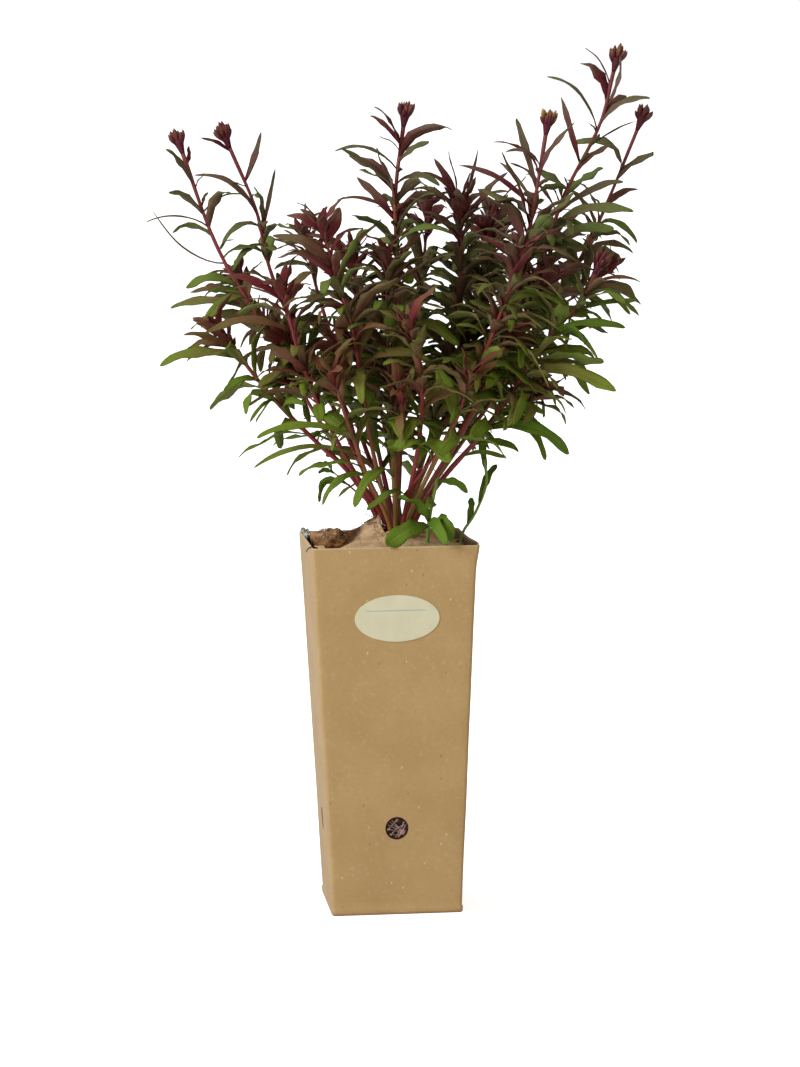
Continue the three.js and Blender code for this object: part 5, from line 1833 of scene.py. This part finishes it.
# %% [markdown]
# ## The sheet over the soil
#
# A disc of matted plant fibre lies over the soil. It is torn open round the crown, pushed up there by the
# stems, and folded on the left. A cloth simulation could drape it, but a mat this stiff keeps the shape it
# was pressed into, so its rise, fold and lump are given as heights. The sheet is a loft without caps that
# gets its thickness last. Loose fibres lie on it and stand out of its torn edge.

# %% Fibre sheet
COVER = dict(thickness=1, inset=1.5, edge=196.5, rim=209, power=1.3, inner=0.4, rings=20)
HOLE = dict(x=5.5, y=0, half_x=13, half_y=23, reach=0.6)
LUMP = dict(x=-30, y=2, height=6.5, spread=64)
FOLD = dict(front=-38, back=-13, width=2.2, drop=2.4, rise=1.2, shares=(0.45, 0.7))
PEAK = dict(angle=-2.85, width=0.5, height=7)
CREASE = dict(size=0.9, scale=0.11)
TEAR = ((0.08, 3, 0.6), (0.05, 7, 0))
RUFFLE = ((1.2, 4, 1), (0.8, 9, 0))
# Tint shares of the sheet: a darker edge by the walls, the clump's lump colour, and painted shade on loose
# fibres left of the fold.
SHEET_TINT = dict(edge=0.6, width=5, lump=1.6, fibres=0.75)
COVER_OUTER = half_width_at(COVER["edge"]) - POT["wall"] - COVER["inset"]
FIBRES = dict(count=420, length=(3, 11), radius=(0.1, 0.24))


def waves(rows, angle):
    """A sum of waves round the crown, from rows of size, count and phase."""
    return sum(size * math.sin(count * angle + phase) for size, count, phase in rows)


def fold_at(x, y):
    """0 on the low left of the sheet's slanting fold, which is painted in shade, and 1 on its right."""
    line = lerp(FOLD["front"], FOLD["back"], smooth(y, -COVER_OUTER, 0))
    return smooth(x - line, -FOLD["width"], FOLD["width"])


def lump_at(x, y):
    """1 in the middle of the sheet's lump, and less around it."""
    return math.exp(-((x - LUMP["x"]) ** 2 + (y - LUMP["y"]) ** 2) / LUMP["spread"])


def cover_point(share, x, y):
    """A place on the sheet, for a share from the middle and the place it has on its flat square."""
    inward = smooth(1 - share, 0, HOLE["reach"])
    angle = math.atan2(y, x)
    torn = 1 + waves(TEAR, angle)
    torn += 0.1 * inward * noise.noise(Vector((math.cos(angle), math.sin(angle), 0.3)) * 6)
    lump = LUMP["height"] * lump_at(x, y)
    ruffle = inward * waves(RUFFLE, angle)
    collar = COVER["inner"] ** COVER["power"]
    height = COVER["edge"] + (1 - share ** COVER["power"]) / (1 - collar) * (COVER["rim"] - COVER["edge"])
    crease = CREASE["size"] * noise.fractal(Vector((x, y, height)) * CREASE["scale"], 0.9, 2, 3)
    to_x = HOLE["x"] + HOLE["half_x"] * torn * math.cos(angle) - x
    to_y = HOLE["y"] + HOLE["half_y"] * torn * math.sin(angle) - y
    height += inward * PEAK["height"] * math.exp(-(((angle - PEAK["angle"]) / PEAK["width"]) ** 2))
    height += lerp(-FOLD["drop"], FOLD["rise"], fold_at(x, y)) * smooth(share, *FOLD["shares"])
    return np.array([x + inward * to_x, y + inward * to_y, height + lump + ruffle + crease])


def make_cover():
    """The sheet: its tint paints shade on the low left of its fold and darkens its edge by the walls."""
    bm = new_bmesh()
    tint = tint_layer(bm)
    shares = [1 - (1 - COVER["inner"]) * k / COVER["rings"] for k in range(COVER["rings"] + 1)]
    profile = [(share * COVER_OUTER, share) for share in shares]

    def shift(point):
        x, y, share = point
        return cover_point(share, x, y)

    loft(bm, profile, shift, lambda ring: (0, 0, 0, 1), caps=False)
    if sum(face.normal.z for face in bm.faces) < 0:
        bmesh.ops.reverse_faces(bm, faces=bm.faces[:])
    bmesh.ops.solidify(bm, geom=bm.faces[:], thickness=COVER["thickness"] * MM)
    for vert in bm.verts:
        x, y, _ = vert.co / MM
        # Painted shade on the low left of the fold; the sheet is also darker towards the walls.
        edge = SHEET_TINT["edge"] * smooth(max(abs(x), abs(y)), COVER_OUTER - SHEET_TINT["width"], COVER_OUTER)
        vert[tint] = (max(1 - fold_at(x, y), edge), min(1, SHEET_TINT["lump"] * lump_at(x, y)), 0, 1)
    return add_piece("fine_soil_cover", bm, [FIBRE], ["soil_cover"])


def make_fibres():
    """Loose fibres: thin bent rods that lie on the sheet and stick out of its edge."""
    draw = drawer(SEEDS["fibres"])
    bm = new_bmesh()
    for _ in range(FIBRES["count"]):
        turn, share = draw(0, FULL_TURN), draw(0.4, 0.97)
        x, y = share * COVER_OUTER * math.cos(turn), share * COVER_OUTER * math.sin(turn)
        middle = cover_point(share, x, y) + draw(0, 0.5) * UP
        heading = draw(0, FULL_TURN)
        reach = 0.5 * draw(*FIBRES["length"])
        out = np.array([math.cos(heading), math.sin(heading), draw(-0.15, 0.5)])
        bend = middle + np.array([draw(-1.5, 1.5), draw(-1.5, 1.5), draw(0, 1.6)])
        radius = draw(*FIBRES["radius"])
        # Fibres left of the fold are painted in its shade.
        dark_and_shade = SHEET_TINT["fibres"] * (1 - fold_at(x, y))
        strand = Arc(middle - reach * out, bend, middle + reach * out)
        add_rod(bm, strand, lambda s: radius, lambda s: (dark_and_shade, 0, 0, 1), sides=4, spacing=3)
    return add_piece("loose_fibres", bm, [FIBRE], [])


cover, fibres = make_cover(), make_fibres()
print("sheet:", len(cover.data.polygons), "faces; loose fibres:", len(fibres.data.polygons), "faces")

# %% [markdown]
# ## The clump at the left wall
#
# Beside the left wall the matting is crumpled into a clump, painted dark below as shade and paler on its
# crest as painted light. The sheet can't make it, because it has one height at each place and a clump
# bulges over itself. So it is an icosphere whose vertices follow a noise, with loose strands laid over it. A
# pale scrap and a dry twig lie in the corner.

# %% Fibre clump
# crest and dry: the clump is painted in shade below and lighter on its crest, where light falls.
CLUMP = dict(
    middle=(-31, -2, 201.5), reach=(9.5, 11, 6.8), rough=0.42, scale=1.9, crest=(200, 208), strands=90,
    strand_radius=0.15, dry=0.25, dark=0.75,
)
SCRAP = dict(middle=(-39.5, -36, 202.2), reach=(3.2, 2, 1.6))
TWIG = ((-47.2, -38, 200.6), (-46, -38, 204.8), (-40, -37, 202.2))


def add_clump(bm, shape, rounds, tint_at):
    """A matted lump: an icosphere whose vertices follow a noise."""
    tint = tint_layer(bm)
    middle = Vector(shape["middle"])
    for vert in bmesh.ops.create_icosphere(bm, subdivisions=rounds, radius=1)["verts"]:
        rough = 1 + CLUMP["rough"] * noise.fractal(vert.co * CLUMP["scale"] + middle, 0.7, 2, 4)
        place = middle + Vector(shape["reach"]) * vert.co * rough
        vert.co = place * MM
        vert[tint] = tint_at(place[2])


def make_clump():
    """The crumpled clump, the loose strands on it, a pale scrap in the corner, and a twig over the rim."""
    draw = drawer(SEEDS["clump"])
    bm = new_bmesh()

    # Painted shade by height: dark low on the clump, paler towards its lit crest.
    def shade(height):
        return (lerp(1, CLUMP["dry"], smooth(height, *CLUMP["crest"])), CLUMP["dark"], 0, 1)

    add_clump(bm, CLUMP, 4, shade)
    add_clump(bm, SCRAP, 3, lambda height: (0, 0, 0, 1))
    for _ in range(CLUMP["strands"]):
        turn, rise = draw(0, FULL_TURN), draw(0.1, 1)
        level = math.sqrt(1 - rise**2)
        out = np.array([math.cos(turn) * level, math.sin(turn) * level, rise])
        place = np.array(CLUMP["middle"]) + np.array(CLUMP["reach"]) * out * draw(0.9, 1.06)
        along = unit(cross(out, np.array([draw(-1, 1), draw(-1, 1), draw(-1, 1)])))
        reach = 0.5 * draw(*FIBRES["length"])
        light = shade(place[2])
        strand = Arc(place - reach * along, place + 2 * out, place + reach * along)
        add_rod(bm, strand, lambda s: CLUMP["strand_radius"], lambda s: light, sides=4, spacing=3)
    twig = Arc(*(np.array(place, float) for place in TWIG))
    add_rod(bm, twig, lambda s: lerp(0.3, 0.45, s), lambda s: (1, 0, 0, 1), sides=6, spacing=1)
    return add_piece("fibre_clump", bm, [FIBRE], [])


print("clump:", len(make_clump().data.polygons), "faces")

# %% [markdown]
# ## Straws and moss
#
# Three dry straws stand in a crumb of moss in front of the crown, and more crumbs lie at the left rim. Hair
# could make the straws, but three are as quick as rods. A crumb is an icosphere whose vertices follow a
# noise, with few faces, because there are many crumbs.

# %% Straws and crumbs
STRAWS = dict(
    foot=(29, -33, 201.3), tips=((26, -36, 208), (30.5, -37, 209.5), (33, -33, 207.5)), radius=0.35,
    crumb=1.1,
)
MOSS_BITS = dict(count=170, x=(-44.2, -37.5), y=(8, 41), radius=(0.4, 1.3), rounds=1)
MOSS_BANK = dict(rim=(-43.6, 203), foot=(-37, 199.5), pile=2.6)


def add_crumb(bm, middle, radius, rounds=2):
    """A rough crumb of moss."""
    made = bmesh.ops.create_icosphere(bm, subdivisions=rounds, radius=1)
    for vert in made["verts"]:
        rough = 1 + 0.7 * noise.noise(vert.co * 2.3 + Vector(middle))
        vert.co = (Vector(middle) + vert.co * radius * rough) * MM


def make_straws():
    """Three straws that rise from one crumb of moss."""
    bm = new_bmesh()
    foot = np.array(STRAWS["foot"])
    for tip in STRAWS["tips"]:
        tip = np.array(tip)
        bend = 0.5 * (foot + tip) + np.array([0.4, 0.2, 0.3])
        looks = (lambda s: STRAWS["radius"] * (1 - 0.5 * s), lambda s: (s, 0, 0, 1))
        add_rod(bm, Arc(foot, bend, tip), *looks, sides=6, spacing=1)
    straws_end = len(bm.faces)
    add_crumb(bm, foot + STRAWS["radius"] * UP, STRAWS["crumb"])
    bm.faces.ensure_lookup_table()
    for face in bm.faces[straws_end:]:
        face.material_index = 1
    return add_piece("fine_straws", bm, [STRAW, MOSS], ["straws"])


def make_moss():
    """A bank of crumbs that falls from the left rim to the sheet."""
    draw = drawer(SEEDS["moss"])
    bm = new_bmesh()
    (rim_x, rim_z), (foot_x, foot_z) = MOSS_BANK["rim"], MOSS_BANK["foot"]
    for _ in range(MOSS_BITS["count"]):
        x, y, radius = draw(*MOSS_BITS["x"]), draw(*MOSS_BITS["y"]), draw(*MOSS_BITS["radius"])
        z = lerp(rim_z, foot_z, smooth(x, rim_x, foot_x)) + draw(0, MOSS_BANK["pile"])
        add_crumb(bm, (x, y, z), radius, MOSS_BITS["rounds"])
    return add_piece("moss_crumbs", bm, [MOSS], [])


print("straws:", len(make_straws().data.polygons), "moss:", len(make_moss().data.polygons))

# %% [markdown]
# ## Sizes
#
# The dressed plant has to stay in the imported model's box, so both boxes are printed.

# %% Sizes
dressed_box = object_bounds()
[[list(corner) for corner in box] for box in (cad_box, dressed_box)]
for box in (cad_box, dressed_box):
    print([[round(c, 4) for c in corner] for corner in box])
